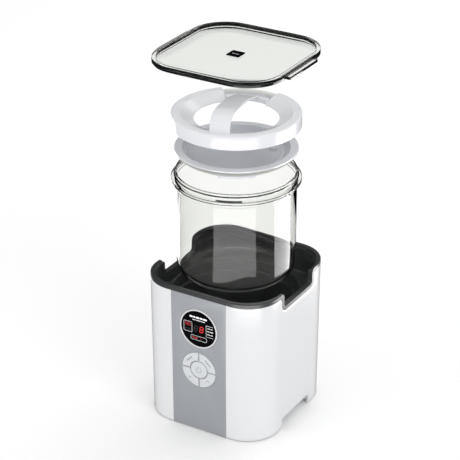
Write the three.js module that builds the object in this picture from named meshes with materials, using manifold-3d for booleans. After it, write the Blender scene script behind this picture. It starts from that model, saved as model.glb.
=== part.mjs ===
// Household yoghurt maker: a rounded-square heating base with a control panel, a two-litre glass jar,
// an inner lid, a ring lid with a carrying strap and a clear dust cover, drawn lifted apart.
// Millimetres, +Z up, the control panel faces -Y, and the origin is on the ground under the base's centre.
import * as THREE from "three";
import { mergeVertices } from "three/addons/utils/BufferGeometryUtils.js";
import Module from "manifold-3d";

const wasm = await Module();
wasm.setup();

// ---------------------------------------------------------------- driving dimensions
// The jar's radius and height set the width and the height of everything else.
const GAP = 0.3; // between pieces that touch
const ARC = 4; // chords on half of a rounded corner
const ROUND = 40; // sides of a turned piece

const jar = { height: 132.6, radius: 71.6, wall: 3, fillet: 15, floor: 4 };
const neck = {
  inner: jar.radius - 1.4,
  outer: jar.radius + 0.7,
  height: 12.8,
  thread: jar.radius + 2.4, // outside radius of the screw thread
  threadDrop: 4.6, // from the rim down to the thread's middle
  threadHalf: 0.8,
};
const flange = { radius: neck.thread + 3.2, drop: 8.2, thickness: 4 };

// How far each piece is lifted above where it sits when the machine is put together.
const lift = { jar: 157.9, lid: 26.4, ring: 38, cover: 47.6 };
const seatGap = { jar: 0.4, lid: 0.4, ring: 0.5, strap: 0.7, cover: 0.6 };

const innerLid = {
  radius: neck.outer + 0.6,
  thickness: 2.2,
  plug: neck.inner - 5.6,
  dish: neck.inner - 6.8,
  depth: 7,
  skirt: 10.3,
};
const lidFloor = { thickness: 1.8, line: innerLid.dish - 8.65 };
const lug = { angle: -59, half: 19, reach: 1.4, drop: 1.6 }; // thumb tongue on the plug, degrees and mm
const vent = { radius: lidFloor.line - 11.25, angle: 38, hole: 2.2, cap: 4, capHeight: 2.6, collar: 5.2 };
const seal = { clearance: 0.3, bottom: 7.9, lip: 0.5 };

const ring = { skirtIn: neck.thread + 0.5, skirt: 1.7, height: 16.3, drop: 7.4, wall: 1.9 };
ring.radius = ring.skirtIn + ring.skirt;
ring.inner = ring.radius - 11; // where the funnel starts
ring.hole = ring.inner - 15.4;
const notch = { angle: 106, half: 28, wallDrop: 3 }; // the ring's cut-out behind the strap, degrees and mm
const gasket = { inner: neck.inner - 0.8, outer: ring.skirtIn - 0.9, thickness: 3.2 };
const strap = { angle: 104, width: 24, thickness: 2.4, crown: 18.8, steps: 26 };
const bar = { inner: ring.hole + 1.2, outer: ring.hole + 8.2, top: 2.2, bottom: 8 }; // at the strap's root

const pane = { bottom: 1, thickness: 2.3 };
const rim = { height: 5, lip: 3.2, seat: 2 }; // the liner's collar over the shell, and its cover seat

// The well holds the jar, with a wider upper part round the jar's flange.
const well = { radius: jar.radius + 2.9, upperRadius: flange.radius + 1, floor: 25.2, wall: 2, fillet: 4 };
const seatedJar = well.floor + seatGap.jar;
const seatedFlangeTop = seatedJar + jar.height - flange.drop;
well.shoulder = seatedFlangeTop - flange.thickness - 8;
const seatedStrapTop = seatedFlangeTop + seatGap.ring + ring.height + strap.crown + strap.thickness / 2;
const shellTop = seatedStrapTop + seatGap.strap - pane.bottom - GAP - rim.seat;

const panel = { half: 37.4, thickness: 1.15, proud: 0.15, recess: 1.5 };
const tub = {
  wall: 2,
  halfX: well.upperRadius + 1,
  halfY: well.upperRadius + 1.4,
  floor: well.shoulder + 16.5,
  step: shellTop - 7.3,
  stepWidth: 0.8,
};
const base = {
  halfX: tub.halfX + 6.8,
  halfY: tub.halfY + 8.4,
  wall: 3,
  footHeight: 1.5, // the shell's lower edge over the ground
  draft: 0.015, // share by which the foot of the shell is smaller than its top
};
base.corner = base.halfX - panel.half - 5.4; // the flat front is a little wider than the panel
base.height = shellTop - base.footHeight;
tub.corner = base.corner - (base.halfX - tub.halfX);

const recess = { half: 34.4, depth: 19.4, inner: 5, flare: 6 }; // hand recess in each side of the rim
const arch = { half: recess.half, height: 12, corner: 4, pocketDepth: 14 }; // grip at the foot of each side

const display = { radius: 25.6, bezel: 1.6, proud: 0.6, depth: base.wall - 0.4, window: 0.25 };
display.height = shellTop - display.radius - 16.8;
const buttons = { outer: 23.2, centre: 11.2, split: 1.6, proud: 0.65, centreProud: 0.8 };
buttons.inner = buttons.centre + 1.2;
buttons.height = display.height - display.radius - buttons.outer - 7.6;
const keypad = { back: base.wall + 0.9, thickness: 0.5, radius: buttons.outer + 1.8 };
buttons.back = keypad.back - keypad.thickness - 0.65;
const digits = { halfX: 15, halfZ: 11 };
const board = {
  half: display.radius + 4.4,
  bottom: buttons.height - keypad.radius - 8.4,
  top: display.height + display.radius + 2.6,
  back: keypad.back + 1.4,
  thickness: 1.2,
};

const plate = { bottom: 4, thickness: 2.5, clearance: 0.45 };
const slot = { count: 5, pitch: 9, half: 1.5, from: -58, to: -34 }; // vents under the electronics
const screwReach = (base.corner - 13.2) * Math.SQRT1_2; // from the corner's centre, on its diagonal
const screw = {
  x: base.halfX - base.corner + screwReach,
  y: base.halfY - base.corner + screwReach,
  headRadius: 3.2,
  headHeight: 1.5,
  radius: 1.5,
  length: 14,
  fit: 0.4,
};
const foot = { radius: 8, x: screw.x - 12, y: screw.y - 10 };
const boss = { radius: 4.5, height: 17, rib: 3, roof: 4 };
const inlet = { x: -25, z: 14.6, width: 24, height: 14, depth: 19, cavity: 12, flange: 1.5, proud: 0.8 };
inlet.lobe = 4.2; // radius of each half of the figure-eight socket
inlet.waist = 3.4; // half height between the two halves
inlet.pin = 1.15;

const heater = { radius: well.radius - 16.5, thickness: 1.5, hole: 6, under: 0.4 };
heater.ringThickness = 0.9;
heater.ringInner = 30;
heater.ringOuter = heater.radius - 8;
const sensor = { fit: 1, collar: 1.5, bottom: 6.5, collarHeight: 1.5, drop: 0.2 };
const fuse = { radius: 1.7, half: 10, lead: 0.5, leadHalf: 18, x: -40 };
const sleeve = { thickness: 2.6, bottom: well.floor + 4.8, top: well.shoulder - 4 };
const powerBoard = { halfX: 32, halfY: 24, z: 8.5, thickness: 1.6, y: 8 };
const coil = { x: 20, y: 8, halfX: 8, halfY: 14, height: 8 };
const core = { halfX: 11, halfY: 10, bottom: 2, top: 7.6 }; // of the coil
const can = { radius: 3.8, x: -11, y0: 9, y1: 27 };
const relaySize = { x: -24, y: 5, halfX: 6, halfY: 9, height: 6 };

const cover = {
  halfX: base.halfX - rim.lip - seatGap.cover,
  halfY: base.halfY - rim.lip - 3 * seatGap.cover,
  corner: base.corner + 1.7,
  height: 6.8,
  frame: 5,
};
const tab = { half: recess.half - 1.9, reach: 5.6, height: 3.6 };
const badge = { half: 8.6, corner: 2, thickness: 0.5, y: -2 };

// Heights of the lifted pieces.
jar.bottom = seatedJar + lift.jar;
const jarTop = jar.bottom + jar.height;
const flangeTop = jarTop - flange.drop;
innerLid.top = jarTop + seatGap.lid + innerLid.thickness + lift.lid;
ring.top = flangeTop + seatGap.ring + ring.height + lift.lid + lift.ring;
cover.bottom = shellTop + rim.seat + GAP + lift.jar + lift.lid + lift.ring + lift.cover;

// ---------------------------------------------------------------- solids
// A closed three.js geometry as a manifold-3d solid.
function solid(geometry) {
  const bare = geometry.clone();
  bare.deleteAttribute("normal");
  bare.deleteAttribute("uv");
  const merged = mergeVertices(bare, 1e-4);
  const corners = merged.index.array;
  const kept = [];
  for (let i = 0; i < corners.length; i += 3) {
    const [a, b, c] = corners.slice(i, i + 3);
    if (a !== b && b !== c && c !== a) kept.push(a, b, c);
  }
  const vertProperties = merged.attributes.position.array;
  return new wasm.Manifold(new wasm.Mesh({ numProp: 3, vertProperties, triVerts: new Uint32Array(kept) }));
}

// A manifold-3d solid as a three.js geometry.
function geometryOf(made) {
  const mesh = made.getMesh();
  const geometry = new THREE.BufferGeometry();
  geometry.setAttribute("position", new THREE.BufferAttribute(mesh.vertProperties, 3));
  geometry.setIndex(new THREE.BufferAttribute(mesh.triVerts, 1));
  geometry.computeVertexNormals();
  return geometry;
}

const joined = (first, ...others) => others.reduce((sum, other) => sum.add(other), first);
const cut = (first, ...others) => others.reduce((rest, other) => rest.subtract(other), first);

function box(x0, x1, y0, y1, z0, z1) {
  const geometry = new THREE.BoxGeometry(x1 - x0, y1 - y0, z1 - z0);
  return solid(geometry.translate((x0 + x1) / 2, (y0 + y1) / 2, (z0 + z1) / 2));
}

function upright(radius, z0, z1, x = 0, y = 0, lowerRadius = radius, sides = 24) {
  const geometry = new THREE.CylinderGeometry(radius, lowerRadius, z1 - z0, sides);
  return solid(geometry.rotateX(Math.PI / 2).translate(x, y, (z0 + z1) / 2));
}

// A cylinder along Y from y0 to y1.
function level(radius, y0, y1, x, z, sides = 32) {
  const geometry = new THREE.CylinderGeometry(radius, radius, y1 - y0, sides);
  return solid(geometry.translate(x, (y0 + y1) / 2, z));
}

// A closed [radius, z] profile turned about the Z axis.
function turned(profile, sides = ROUND) {
  const points = profile.map(([r, z]) => new THREE.Vector2(r, z));
  if (THREE.ShapeUtils.area(points) < 0) points.reverse();
  if (points[0].x > 0) points.push(points[0].clone());
  return solid(new THREE.LatheGeometry(points, sides).rotateX(Math.PI / 2));
}

// Points of an arc in a [radius, z] profile, angles in degrees.
function arc(cr, cz, radius, from, to, steps = 4) {
  return Array.from({ length: steps + 1 }, (_, i) => {
    const a = THREE.MathUtils.degToRad(from + ((to - from) * i) / steps);
    return [cr + radius * Math.cos(a), cz + radius * Math.sin(a)];
  });
}

function roundedRectangle(halfX, halfY, corner) {
  const shape = new THREE.Shape();
  const x = halfX - corner;
  const y = halfY - corner;
  shape.absarc(x, y, corner, 0, Math.PI / 2);
  shape.absarc(-x, y, corner, Math.PI / 2, Math.PI);
  shape.absarc(-x, -y, corner, Math.PI, 1.5 * Math.PI);
  shape.absarc(x, -y, corner, 1.5 * Math.PI, 2 * Math.PI);
  return shape;
}

function extruded(shape, depth, curveSegments = ARC) {
  return new THREE.ExtrudeGeometry(shape, { depth, curveSegments, bevelEnabled: false });
}

const prism = (halfX, halfY, corner, z0, z1) =>
  solid(extruded(roundedRectangle(halfX, halfY, corner), z1 - z0).translate(0, 0, z0));

// A shape drawn in Y and Z, extruded along X through the whole base.
function across(shape, reach = base.halfX + 4) {
  const turn = new THREE.Matrix4().makeBasis(
    new THREE.Vector3(0, 1, 0),
    new THREE.Vector3(0, 0, 1),
    new THREE.Vector3(1, 0, 0),
  );
  return solid(extruded(shape, 2 * reach, 3).translate(0, 0, -reach).applyMatrix4(turn));
}

// A sector between two radii and two angles (degrees) about the Z axis.
function sector(inner, outer, middle, half, z0, z1) {
  const from = THREE.MathUtils.degToRad(middle - half);
  const to = THREE.MathUtils.degToRad(middle + half);
  const shape = new THREE.Shape();
  shape.absarc(0, 0, outer, from, to, false);
  shape.absarc(0, 0, inner, to, from, true);
  return solid(extruded(shape, z1 - z0, 8).translate(0, 0, z0));
}

// The shell's size at height z, as a share of its size at the top.
const taper = (z) => 1 - base.draft * (1 - (z - base.footHeight) / base.height);

// Leans a solid's walls in with the shell: Y always, X only where asked.
function drafted(made, withX = false) {
  const geometry = geometryOf(made);
  const position = geometry.attributes.position;
  for (let i = 0; i < position.count; i++) {
    const share = taper(position.getZ(i));
    position.setY(i, position.getY(i) * share);
    if (withX) position.setX(i, position.getX(i) * share);
  }
  return solid(geometry);
}

const onCorners = (x, y) => [
  [x, y],
  [-x, y],
  [-x, -y],
  [x, -y],
];

// ---------------------------------------------------------------- the stepped edge of the rim
const rimTop = shellTop + GAP + rim.height;
const recessFloor = rimTop - recess.depth;

// The hand recess as a shape in Y and Z, grown by a margin on its sides and floor.
function recessShape(margin, top) {
  const half = recess.half + margin;
  const low = recessFloor - margin;
  const inner = recess.inner + margin;
  const shape = new THREE.Shape();
  shape.moveTo(-half - recess.flare, top + recess.depth);
  shape.absarc(-half - recess.flare, top - recess.flare, recess.flare, Math.PI / 2, 0, true);
  shape.absarc(-half + inner, low + inner, inner, Math.PI, 1.5 * Math.PI, false);
  shape.absarc(half - inner, low + inner, inner, 1.5 * Math.PI, 2 * Math.PI, false);
  shape.absarc(half + recess.flare, top - recess.flare, recess.flare, Math.PI, Math.PI / 2, true);
  shape.lineTo(half + recess.flare, top + recess.depth);
  return shape;
}

// ---------------------------------------------------------------- base
function outerShell() {
  const outside = prism(base.halfX, base.halfY, base.corner, base.footHeight, shellTop);
  const inside = prism(
    base.halfX - base.wall,
    base.halfY - base.wall,
    base.corner - base.wall,
    base.footHeight - 1,
    shellTop + 1,
  );
  let shell = cut(drafted(outside, true), drafted(inside, true));
  shell = cut(shell, across(recessShape(rim.height + GAP, shellTop)));

  const opening = new THREE.Shape();
  const archTop = base.footHeight + arch.height;
  opening.moveTo(-arch.half, base.footHeight - 2);
  opening.lineTo(arch.half, base.footHeight - 2);
  opening.absarc(arch.half - arch.corner, archTop - arch.corner, arch.corner, 0, Math.PI / 2);
  opening.absarc(arch.corner - arch.half, archTop - arch.corner, arch.corner, Math.PI / 2, Math.PI);
  shell = cut(shell, across(opening));

  const face = -base.halfY;
  const inlay = box(
    -panel.half - GAP,
    panel.half + GAP,
    face - 2,
    face + panel.recess,
    base.footHeight - 3,
    shellTop + 3,
  );
  shell = cut(
    shell,
    drafted(inlay),
    level(display.radius + GAP, face - 2, face + 2 * base.wall, 0, display.height),
    level(buttons.outer + 1, face - 2, face + 2 * base.wall, 0, buttons.height),
    box(
      inlet.x - inlet.width / 2 - GAP,
      inlet.x + inlet.width / 2 + GAP,
      base.halfY - 2 * base.wall,
      base.halfY + 2,
      inlet.z - inlet.height / 2 - GAP,
      inlet.z + inlet.height / 2 + GAP,
    ),
  );

  // Screw bosses stand in the corners, each on a rib that runs out to the wall.
  const bossBottom = plate.bottom + plate.thickness + GAP;
  for (const [x, y] of onCorners(screw.x, screw.y)) {
    const reach = base.corner - base.wall / 2;
    const angle = Math.atan2(y, x);
    const cornerX = base.halfX - base.corner;
    const cornerY = base.halfY - base.corner;
    const length = (reach - Math.hypot(screw.x - cornerX, screw.y - cornerY)) * 0.96;
    const rib = new THREE.BoxGeometry(length, boss.rib, boss.height)
      .translate(length / 2, 0, bossBottom + boss.height / 2)
      .rotateZ(angle)
      .translate(x, y, 0);
    const bossTop = bossBottom + boss.height;
    const pilot = upright(screw.radius + GAP, bossBottom - 1, bossTop - boss.roof, x, y, undefined, 12);
    const post = upright(boss.radius, bossBottom, bossTop, x, y, undefined, 16);
    shell = joined(shell, post, solid(rib));
    shell = cut(shell, pilot);
  }
  return shell;
}

function innerLiner() {
  const bandBottom = shellTop + GAP;
  const collarInset = base.wall + GAP;

  // The collar lies on the shell's top edge and dips into both hand recesses.
  const band = prism(base.halfX, base.halfY, base.corner, recessFloor - rim.height, rimTop);
  const above = joined(
    across(recessShape(rim.height, bandBottom)),
    box(-base.halfX - 1, base.halfX + 1, -base.halfY - 1, base.halfY + 1, bandBottom, rimTop + 1),
  );
  const collar = prism(
    base.halfX - collarInset,
    base.halfY - collarInset,
    base.corner - collarInset,
    tub.step,
    bandBottom + 1,
  );
  const tubPrism = (grow, z0, z1) =>
    prism(tub.halfX + grow, tub.halfY + grow, tub.corner + grow, z0, z1);
  const wall = tubPrism(tub.wall, tub.floor - tub.wall, bandBottom);
  const outside = joined(band.intersect(above), collar, wall);

  // The well is turned: a wide upper part for the jar's flange, then a close lower part.
  const outerRadius = well.radius + well.wall;
  const outerUpper = well.upperRadius + well.wall;
  const bottom = well.floor - well.wall;
  const pot = turned([
    [0, bottom],
    [outerRadius - well.fillet, bottom],
    ...arc(outerRadius - well.fillet, bottom + well.fillet, well.fillet, -90, 0, 3),
    [outerRadius, well.shoulder - well.wall],
    [outerUpper, well.shoulder - well.wall],
    [outerUpper, tub.floor],
    [0, tub.floor],
  ]);
  const potHollow = turned([
    [0, well.floor],
    [well.radius - well.fillet, well.floor],
    ...arc(well.radius - well.fillet, well.floor + well.fillet, well.fillet, -90, 0, 3),
    [well.radius, well.shoulder],
    [well.upperRadius, well.shoulder],
    [well.upperRadius, tub.floor + 1],
    [0, tub.floor + 1],
  ]);

  const seatX = cover.halfX + seatGap.cover;
  const seatY = cover.halfY + seatGap.cover;
  const seatCorner = cover.corner + seatGap.cover;
  return cut(
    joined(outside, pot),
    potHollow,
    tubPrism(0, tub.floor, rimTop + 1),
    tubPrism(tub.stepWidth, tub.step, rimTop + 1),
    prism(seatX, seatY, seatCorner, shellTop + rim.seat, rimTop + 1),
    across(recessShape(0, rimTop)),
  );
}

function basePlate() {
  const top = plate.bottom + plate.thickness;
  const inset = base.wall + plate.clearance;
  const share = taper(base.footHeight);
  const flat = prism(
    base.halfX * share - inset,
    base.halfY * share - inset,
    base.corner - inset,
    plate.bottom,
    top,
  );
  // A boxed pocket stands behind each arch, so that fingers can reach under the shell.
  const edge = base.halfX * share - inset;
  const pocketTop = base.footHeight + arch.height + GAP;
  const wall = plate.thickness - 0.5;
  let made = flat;
  for (const side of [-1, 1]) {
    const [o0, o1] = [side * (edge - arch.pocketDepth - wall), side * edge].sort((a, b) => a - b);
    const [i0, i1] = [side * (edge - arch.pocketDepth), side * (edge + 5)].sort((a, b) => a - b);
    const half = arch.half + GAP;
    made = joined(made, box(o0, o1, -half - wall, half + wall, plate.bottom, pocketTop + wall));
    made = cut(made, box(i0, i1, -half, half, plate.bottom - 1, pocketTop));
  }
  for (const [x, y] of onCorners(screw.x, screw.y)) {
    made = cut(made, upright(screw.radius + screw.fit, 0, top + 1, x, y, undefined, 16));
  }
  for (let i = 0; i < slot.count; i++) {
    const x = (i - (slot.count - 1) / 2) * slot.pitch;
    made = cut(made, box(x - slot.half, x + slot.half, slot.from, slot.to, 0, top + 1));
  }
  return made;
}

const rubberFoot = (x, y) => upright(foot.radius, 0, plate.bottom - GAP, x, y, foot.radius - 1);

function baseScrew(x, y) {
  const headTop = plate.bottom - GAP;
  const headBottom = headTop - screw.headHeight;
  const head = upright(screw.headRadius, headBottom, headTop, x, y, screw.headRadius - 0.6, 20);
  return joined(head, upright(screw.radius, headTop - 0.1, headTop + screw.length, x, y, undefined, 12));
}

function powerInlet() {
  const outer = base.halfY * taper(inlet.z);
  const y0 = outer - inlet.depth;
  const { x, z, width, height } = inlet;
  const body = box(x - width / 2, x + width / 2, y0, outer + GAP, z - height / 2, z + height / 2);
  const lip = box(
    x - width / 2 - inlet.flange,
    x + width / 2 + inlet.flange,
    outer + GAP,
    outer + inlet.proud,
    z - height / 2 - inlet.flange / 2,
    z + height / 2 + inlet.flange,
  );
  const { lobe, waist } = inlet;
  const mouth = outer + inlet.proud + 1;
  const cavity = joined(
    level(lobe, outer - inlet.cavity, mouth, x - lobe, z, 20),
    level(lobe, outer - inlet.cavity, mouth, x + lobe, z, 20),
    box(x - lobe, x + lobe, outer - inlet.cavity, mouth, z - waist, z + waist),
  );
  const pin = (side) => level(inlet.pin, outer - inlet.cavity - 1, outer - 2.5, x + side * lobe, z, 12);
  return joined(cut(joined(body, lip), cavity), pin(-1), pin(1));
}

// ---------------------------------------------------------------- control panel
// These pieces are drawn against the upright front face, then leaned in with the shell.
const face = -base.halfY;

// One quarter button as a shape in X and Z, grown by a margin; quarter 0 is up and right of the centre.
function quarterShape(quarter, margin) {
  const shape = new THREE.Shape();
  const half = buttons.split / 2 - margin;
  const outer = buttons.outer + margin;
  const inner = buttons.inner - margin;
  const from = Math.asin(half / outer);
  const innerFrom = Math.asin(half / inner);
  const turn = (quarter * Math.PI) / 2;
  shape.absarc(0, 0, outer, turn + from, turn + Math.PI / 2 - from, false);
  shape.absarc(0, 0, inner, turn + Math.PI / 2 - innerFrom, turn + innerFrom, true);
  return shape;
}

// A shape in X and Z about the button ring's centre, extruded along Y from y0 to y1.
function facing(shape, y0, y1, height) {
  const geometry = extruded(shape, y1 - y0, 7).rotateX(Math.PI / 2);
  return solid(geometry.translate(0, y1, height));
}

// rotateX turns a shape's +Y to +Z, and its depth to -Y.
const quarterButton = (quarter) =>
  drafted(facing(quarterShape(quarter, 0), face - buttons.proud, face + buttons.back, buttons.height));

const centreButton = () =>
  drafted(level(buttons.centre, face - buttons.centreProud, face + buttons.back, 0, buttons.height));

function frontPanel() {
  const front = face - panel.proud;
  let made = box(
    -panel.half,
    panel.half,
    front,
    front + panel.thickness,
    base.footHeight,
    shellTop,
  );
  const through = [front - 1, front + panel.thickness + 1];
  made = cut(made, level(display.radius + GAP, ...through, 0, display.height));
  made = cut(made, level(buttons.centre + GAP, ...through, 0, buttons.height));
  for (let quarter = 0; quarter < 4; quarter++) {
    made = cut(made, facing(quarterShape(quarter, GAP), ...through, buttons.height));
  }
  return drafted(made);
}

function displayBezel() {
  const front = face - display.proud;
  const inner = display.radius - display.bezel;
  const outside = level(display.radius, front, front + display.depth, 0, display.height);
  const hollow = level(inner, front - 1, front + display.depth + 1, 0, display.height);
  return drafted(cut(outside, hollow));
}

function displayWindow() {
  const front = face - display.window;
  const radius = display.radius - display.bezel - GAP;
  return drafted(level(radius, front, front + display.depth - 0.4, 0, display.height));
}

function digitModule() {
  const front = face + display.depth + 0.1;
  const back = face + board.back - board.thickness - GAP;
  const [z0, z1] = [display.height - digits.halfZ, display.height + digits.halfZ];
  return drafted(box(-digits.halfX, digits.halfX, front, back, z0, z1));
}

function keypadSheet() {
  const back = face + keypad.back;
  return drafted(level(keypad.radius, back - keypad.thickness, back, 0, buttons.height));
}

function controlBoard() {
  const front = face + board.back - board.thickness;
  return drafted(box(-board.half, board.half, front, face + board.back, board.bottom, board.top));
}

// ---------------------------------------------------------------- heating and electronics
const plateTop = well.floor - well.wall - heater.under;

function heaterPlate() {
  const bottom = plateTop - heater.thickness;
  return cut(
    upright(heater.radius, bottom, plateTop, 0, 0, undefined, ROUND),
    upright(heater.hole, bottom - 1, plateTop + 1),
  );
}

function heaterElement() {
  const top = plateTop - heater.thickness - GAP;
  return turned([
    [heater.ringInner, top - heater.ringThickness],
    [heater.ringOuter, top - heater.ringThickness],
    [heater.ringOuter, top],
    [heater.ringInner, top],
  ]);
}

const temperatureSensor = () =>
  joined(
    upright(heater.hole - sensor.fit, plateTop - sensor.bottom, plateTop - sensor.drop),
    upright(
      heater.hole + sensor.collar,
      plateTop - sensor.bottom,
      plateTop - sensor.bottom + sensor.collarHeight,
    ),
  );

function thermalFuse() {
  const top = plateTop - heater.thickness - heater.ringThickness - 2 * GAP;
  const z = top - fuse.radius;
  return joined(
    level(fuse.radius, -fuse.half, fuse.half, fuse.x, z, 16),
    level(fuse.lead, -fuse.leadHalf, fuse.leadHalf, fuse.x, z, 8),
  );
}

function insulationSleeve() {
  const inner = well.radius + well.wall + GAP;
  return turned([
    [inner, sleeve.bottom],
    [inner + sleeve.thickness, sleeve.bottom],
    [inner + sleeve.thickness, sleeve.top],
    [inner, sleeve.top],
  ]);
}

const mainsBoard = () =>
  box(
    -powerBoard.halfX,
    powerBoard.halfX,
    powerBoard.y - powerBoard.halfY,
    powerBoard.y + powerBoard.halfY,
    powerBoard.z,
    powerBoard.z + powerBoard.thickness,
  );

const boardTop = powerBoard.z + powerBoard.thickness + GAP;

function transformer() {
  const around = (part, z0, z1) =>
    box(coil.x - part.halfX, coil.x + part.halfX, coil.y - part.halfY, coil.y + part.halfY, z0, z1);
  return joined(
    around(core, boardTop + core.bottom, boardTop + core.top),
    around(coil, boardTop, boardTop + coil.height),
  );
}

const capacitor = () => level(can.radius, can.y0, can.y1, can.x, boardTop + can.radius, 20);

function relay() {
  const { x, y, halfX, halfY, height } = relaySize;
  return box(x - halfX, x + halfX, y - halfY, y + halfY, boardTop, boardTop + height);
}

// ---------------------------------------------------------------- jar
function glassJar() {
  const { bottom, radius, wall, fillet, floor } = jar;
  const neckBottom = jarTop - neck.height;
  const flangeBottom = flangeTop - flange.thickness;
  const threadZ = jarTop - neck.threadDrop;
  const innerFillet = fillet - wall;
  const inner = radius - wall;
  const footIn = radius - fillet;
  return turned([
    [0, bottom + 0.8],
    [footIn - 5, bottom + 0.8],
    [footIn - 4, bottom],
    [footIn, bottom],
    ...arc(footIn, bottom + fillet, fillet, -90, 0, 5).slice(1),
    [radius, neckBottom - 8],
    [neck.outer, neckBottom - 3],
    [neck.outer, flangeBottom - 0.8],
    [flange.radius - 0.8, flangeBottom],
    [flange.radius, flangeBottom + 0.8],
    [flange.radius, flangeTop - 0.8],
    [flange.radius - 0.8, flangeTop],
    [neck.outer, flangeTop + 0.4],
    [neck.outer, threadZ - neck.threadHalf],
    [neck.thread, threadZ - neck.threadHalf / 2],
    [neck.thread, threadZ + neck.threadHalf / 2],
    [neck.outer, threadZ + neck.threadHalf],
    [neck.outer, jarTop - 0.8],
    [neck.outer - 0.7, jarTop],
    [neck.inner + 0.7, jarTop],
    [neck.inner, jarTop - 0.8],
    [neck.inner, neckBottom - 2],
    [inner, neckBottom - 7],
    ...arc(inner - innerFillet, bottom + floor + innerFillet, innerFillet, 0, -90, 4),
    [0, bottom + floor + 0.6],
  ]);
}

// ---------------------------------------------------------------- inner lid
function innerLidBody() {
  const { top, radius, thickness, dish, plug, depth, skirt } = innerLid;
  const floorTop = top - depth;
  const floorBottom = floorTop - lidFloor.thickness;
  const line = lidFloor.line;
  const body = turned([
    [0, floorBottom],
    [plug - 1.8, floorBottom],
    [plug - 1.8, top - skirt],
    [plug, top - skirt],
    [plug, top - thickness],
    [radius - 0.6, top - thickness],
    [radius, top - thickness + 0.6],
    [radius, top - 0.8],
    [radius - 0.8, top],
    [dish + 1, top],
    [dish, top - 0.6],
    [line + 3.8, floorTop + 0.8],
    [line + 2.4, floorTop],
    [line + 0.6, floorTop],
    [line + 0.2, floorTop + 0.4],
    [line - 0.2, floorTop + 0.4],
    [line - 0.6, floorTop],
    [0, floorTop],
  ]);
  const tongueBottom = top - skirt - lug.drop;
  const tongue = sector(plug - 1.8, plug + lug.reach, lug.angle, lug.half, tongueBottom, floorBottom + 0.5);
  const [x, y] = ventPlace();
  const collar = upright(vent.collar, floorTop - 0.5, floorTop + 0.6, x, y);
  const pocket = upright(vent.cap + GAP, floorTop + 0.1, floorTop + 2, x, y);
  const hole = upright(vent.hole, floorBottom - 1, floorTop + 2, x, y, undefined, 16);
  return cut(joined(body, tongue, collar), pocket, hole);
}

function ventPlace() {
  const angle = THREE.MathUtils.degToRad(vent.angle);
  return [vent.radius * Math.cos(angle), vent.radius * Math.sin(angle)];
}

function ventPlug() {
  const [x, y] = ventPlace();
  const floorTop = innerLid.top - innerLid.depth;
  const bottom = floorTop + 0.1 + GAP;
  const stem = upright(vent.hole - GAP, floorTop - lidFloor.thickness, bottom + 0.5, x, y, undefined, 16);
  const cap = upright(vent.cap - 0.6, bottom, bottom + vent.capHeight, x, y, vent.cap);
  return joined(stem, cap);
}

function lidSeal() {
  const inner = innerLid.plug + GAP;
  const outer = neck.inner - seal.clearance;
  const bottom = innerLid.top - seal.bottom;
  const top = innerLid.top - innerLid.thickness - GAP;
  const web = inner + 1.4;
  const lip = (z) => [
    [web, z],
    [outer, z + seal.lip],
    [web, z + 2 * seal.lip],
  ];
  const middle = (bottom + top) / 2;
  return turned([
    [inner, bottom],
    [web, bottom],
    ...lip(bottom + 0.8),
    ...lip(middle + 0.6),
    [web, top],
    [inner, top],
  ]);
}

// ---------------------------------------------------------------- ring lid and strap
// The strap's middle line, seen from the side: distance along the strap and height over the ring.
function strapLine() {
  const rise = strap.crown;
  const root = bar.outer - 3;
  const foot = ring.inner + 1.2;
  const points = [
    [root, -bar.top - strap.thickness],
    [root - 6, 0.02 * rise],
    [0.69 * bar.outer, 0.14 * rise],
    [0.35 * bar.outer, 0.46 * rise],
    [0, 0.71 * rise],
    [-0.38 * foot, 0.92 * rise],
    [-0.68 * foot, rise],
    [-0.85 * foot, 0.93 * rise],
    [-0.95 * foot, 0.66 * rise],
    [-0.99 * foot, 0.3 * rise],
    [-foot, -0.02 * rise],
    [-foot, -ring.wall - 1],
  ];
  return new THREE.CatmullRomCurve3(points.map(([s, z]) => new THREE.Vector3(s, 0, ring.top + z)));
}

function strapBand(margin) {
  const half = strap.width / 2 + margin;
  const thick = strap.thickness / 2 + margin;
  const section = new THREE.Shape([
    new THREE.Vector2(-half, -thick),
    new THREE.Vector2(half, -thick),
    new THREE.Vector2(half, thick),
    new THREE.Vector2(-half, thick),
  ]);
  const geometry = new THREE.ExtrudeGeometry(section, {
    steps: strap.steps,
    extrudePath: strapLine(),
    bevelEnabled: false,
  });
  return solid(geometry.rotateZ(THREE.MathUtils.degToRad(strap.angle)));
}

function ringLid() {
  const { top, radius, skirtIn, height, inner, hole, drop, wall } = ring;
  const bend = 1.4;
  const lip = top - drop;
  const body = turned([
    [skirtIn, top - height],
    [radius, top - height],
    [radius, top - bend],
    ...arc(radius - bend, top - bend, bend, 0, 90, 3).slice(1),
    [inner, top],
    [inner - 4, top - 0.9],
    [inner - 9, top - 3.1],
    [hole + 2, lip + 0.9],
    [hole, lip],
    [hole, lip - 1.2],
    [hole + 1.4, lip - 1.6],
    [inner - 8, top - 3.6 - wall],
    [inner - 2, top - 0.5 - wall],
    [inner + 0.4, top - wall],
    [skirtIn, top - wall],
  ]);
  // Behind the strap the ring is only its outer wall, a little lower than the rest.
  const gapInside = sector(hole - 3, skirtIn - 0.4, notch.angle, notch.half, top - height - 1, top + 1);
  const gapTop = sector(hole - 3, radius + 2, notch.angle, notch.half, top - notch.wallDrop, top + 1);
  return cut(body, gapInside, gapTop, strapBand(GAP));
}

function ringHandle() {
  const crossBar = sector(
    bar.inner,
    bar.outer,
    notch.angle,
    notch.half - 0.5,
    ring.top - bar.bottom,
    ring.top - bar.top,
  );
  return joined(strapBand(0), crossBar);
}

function ringGasket() {
  const top = ring.top - ring.wall - GAP;
  return turned([
    [gasket.inner, top - gasket.thickness],
    [gasket.outer, top - gasket.thickness],
    [gasket.outer, top],
    [gasket.inner, top],
  ]);
}

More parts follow.
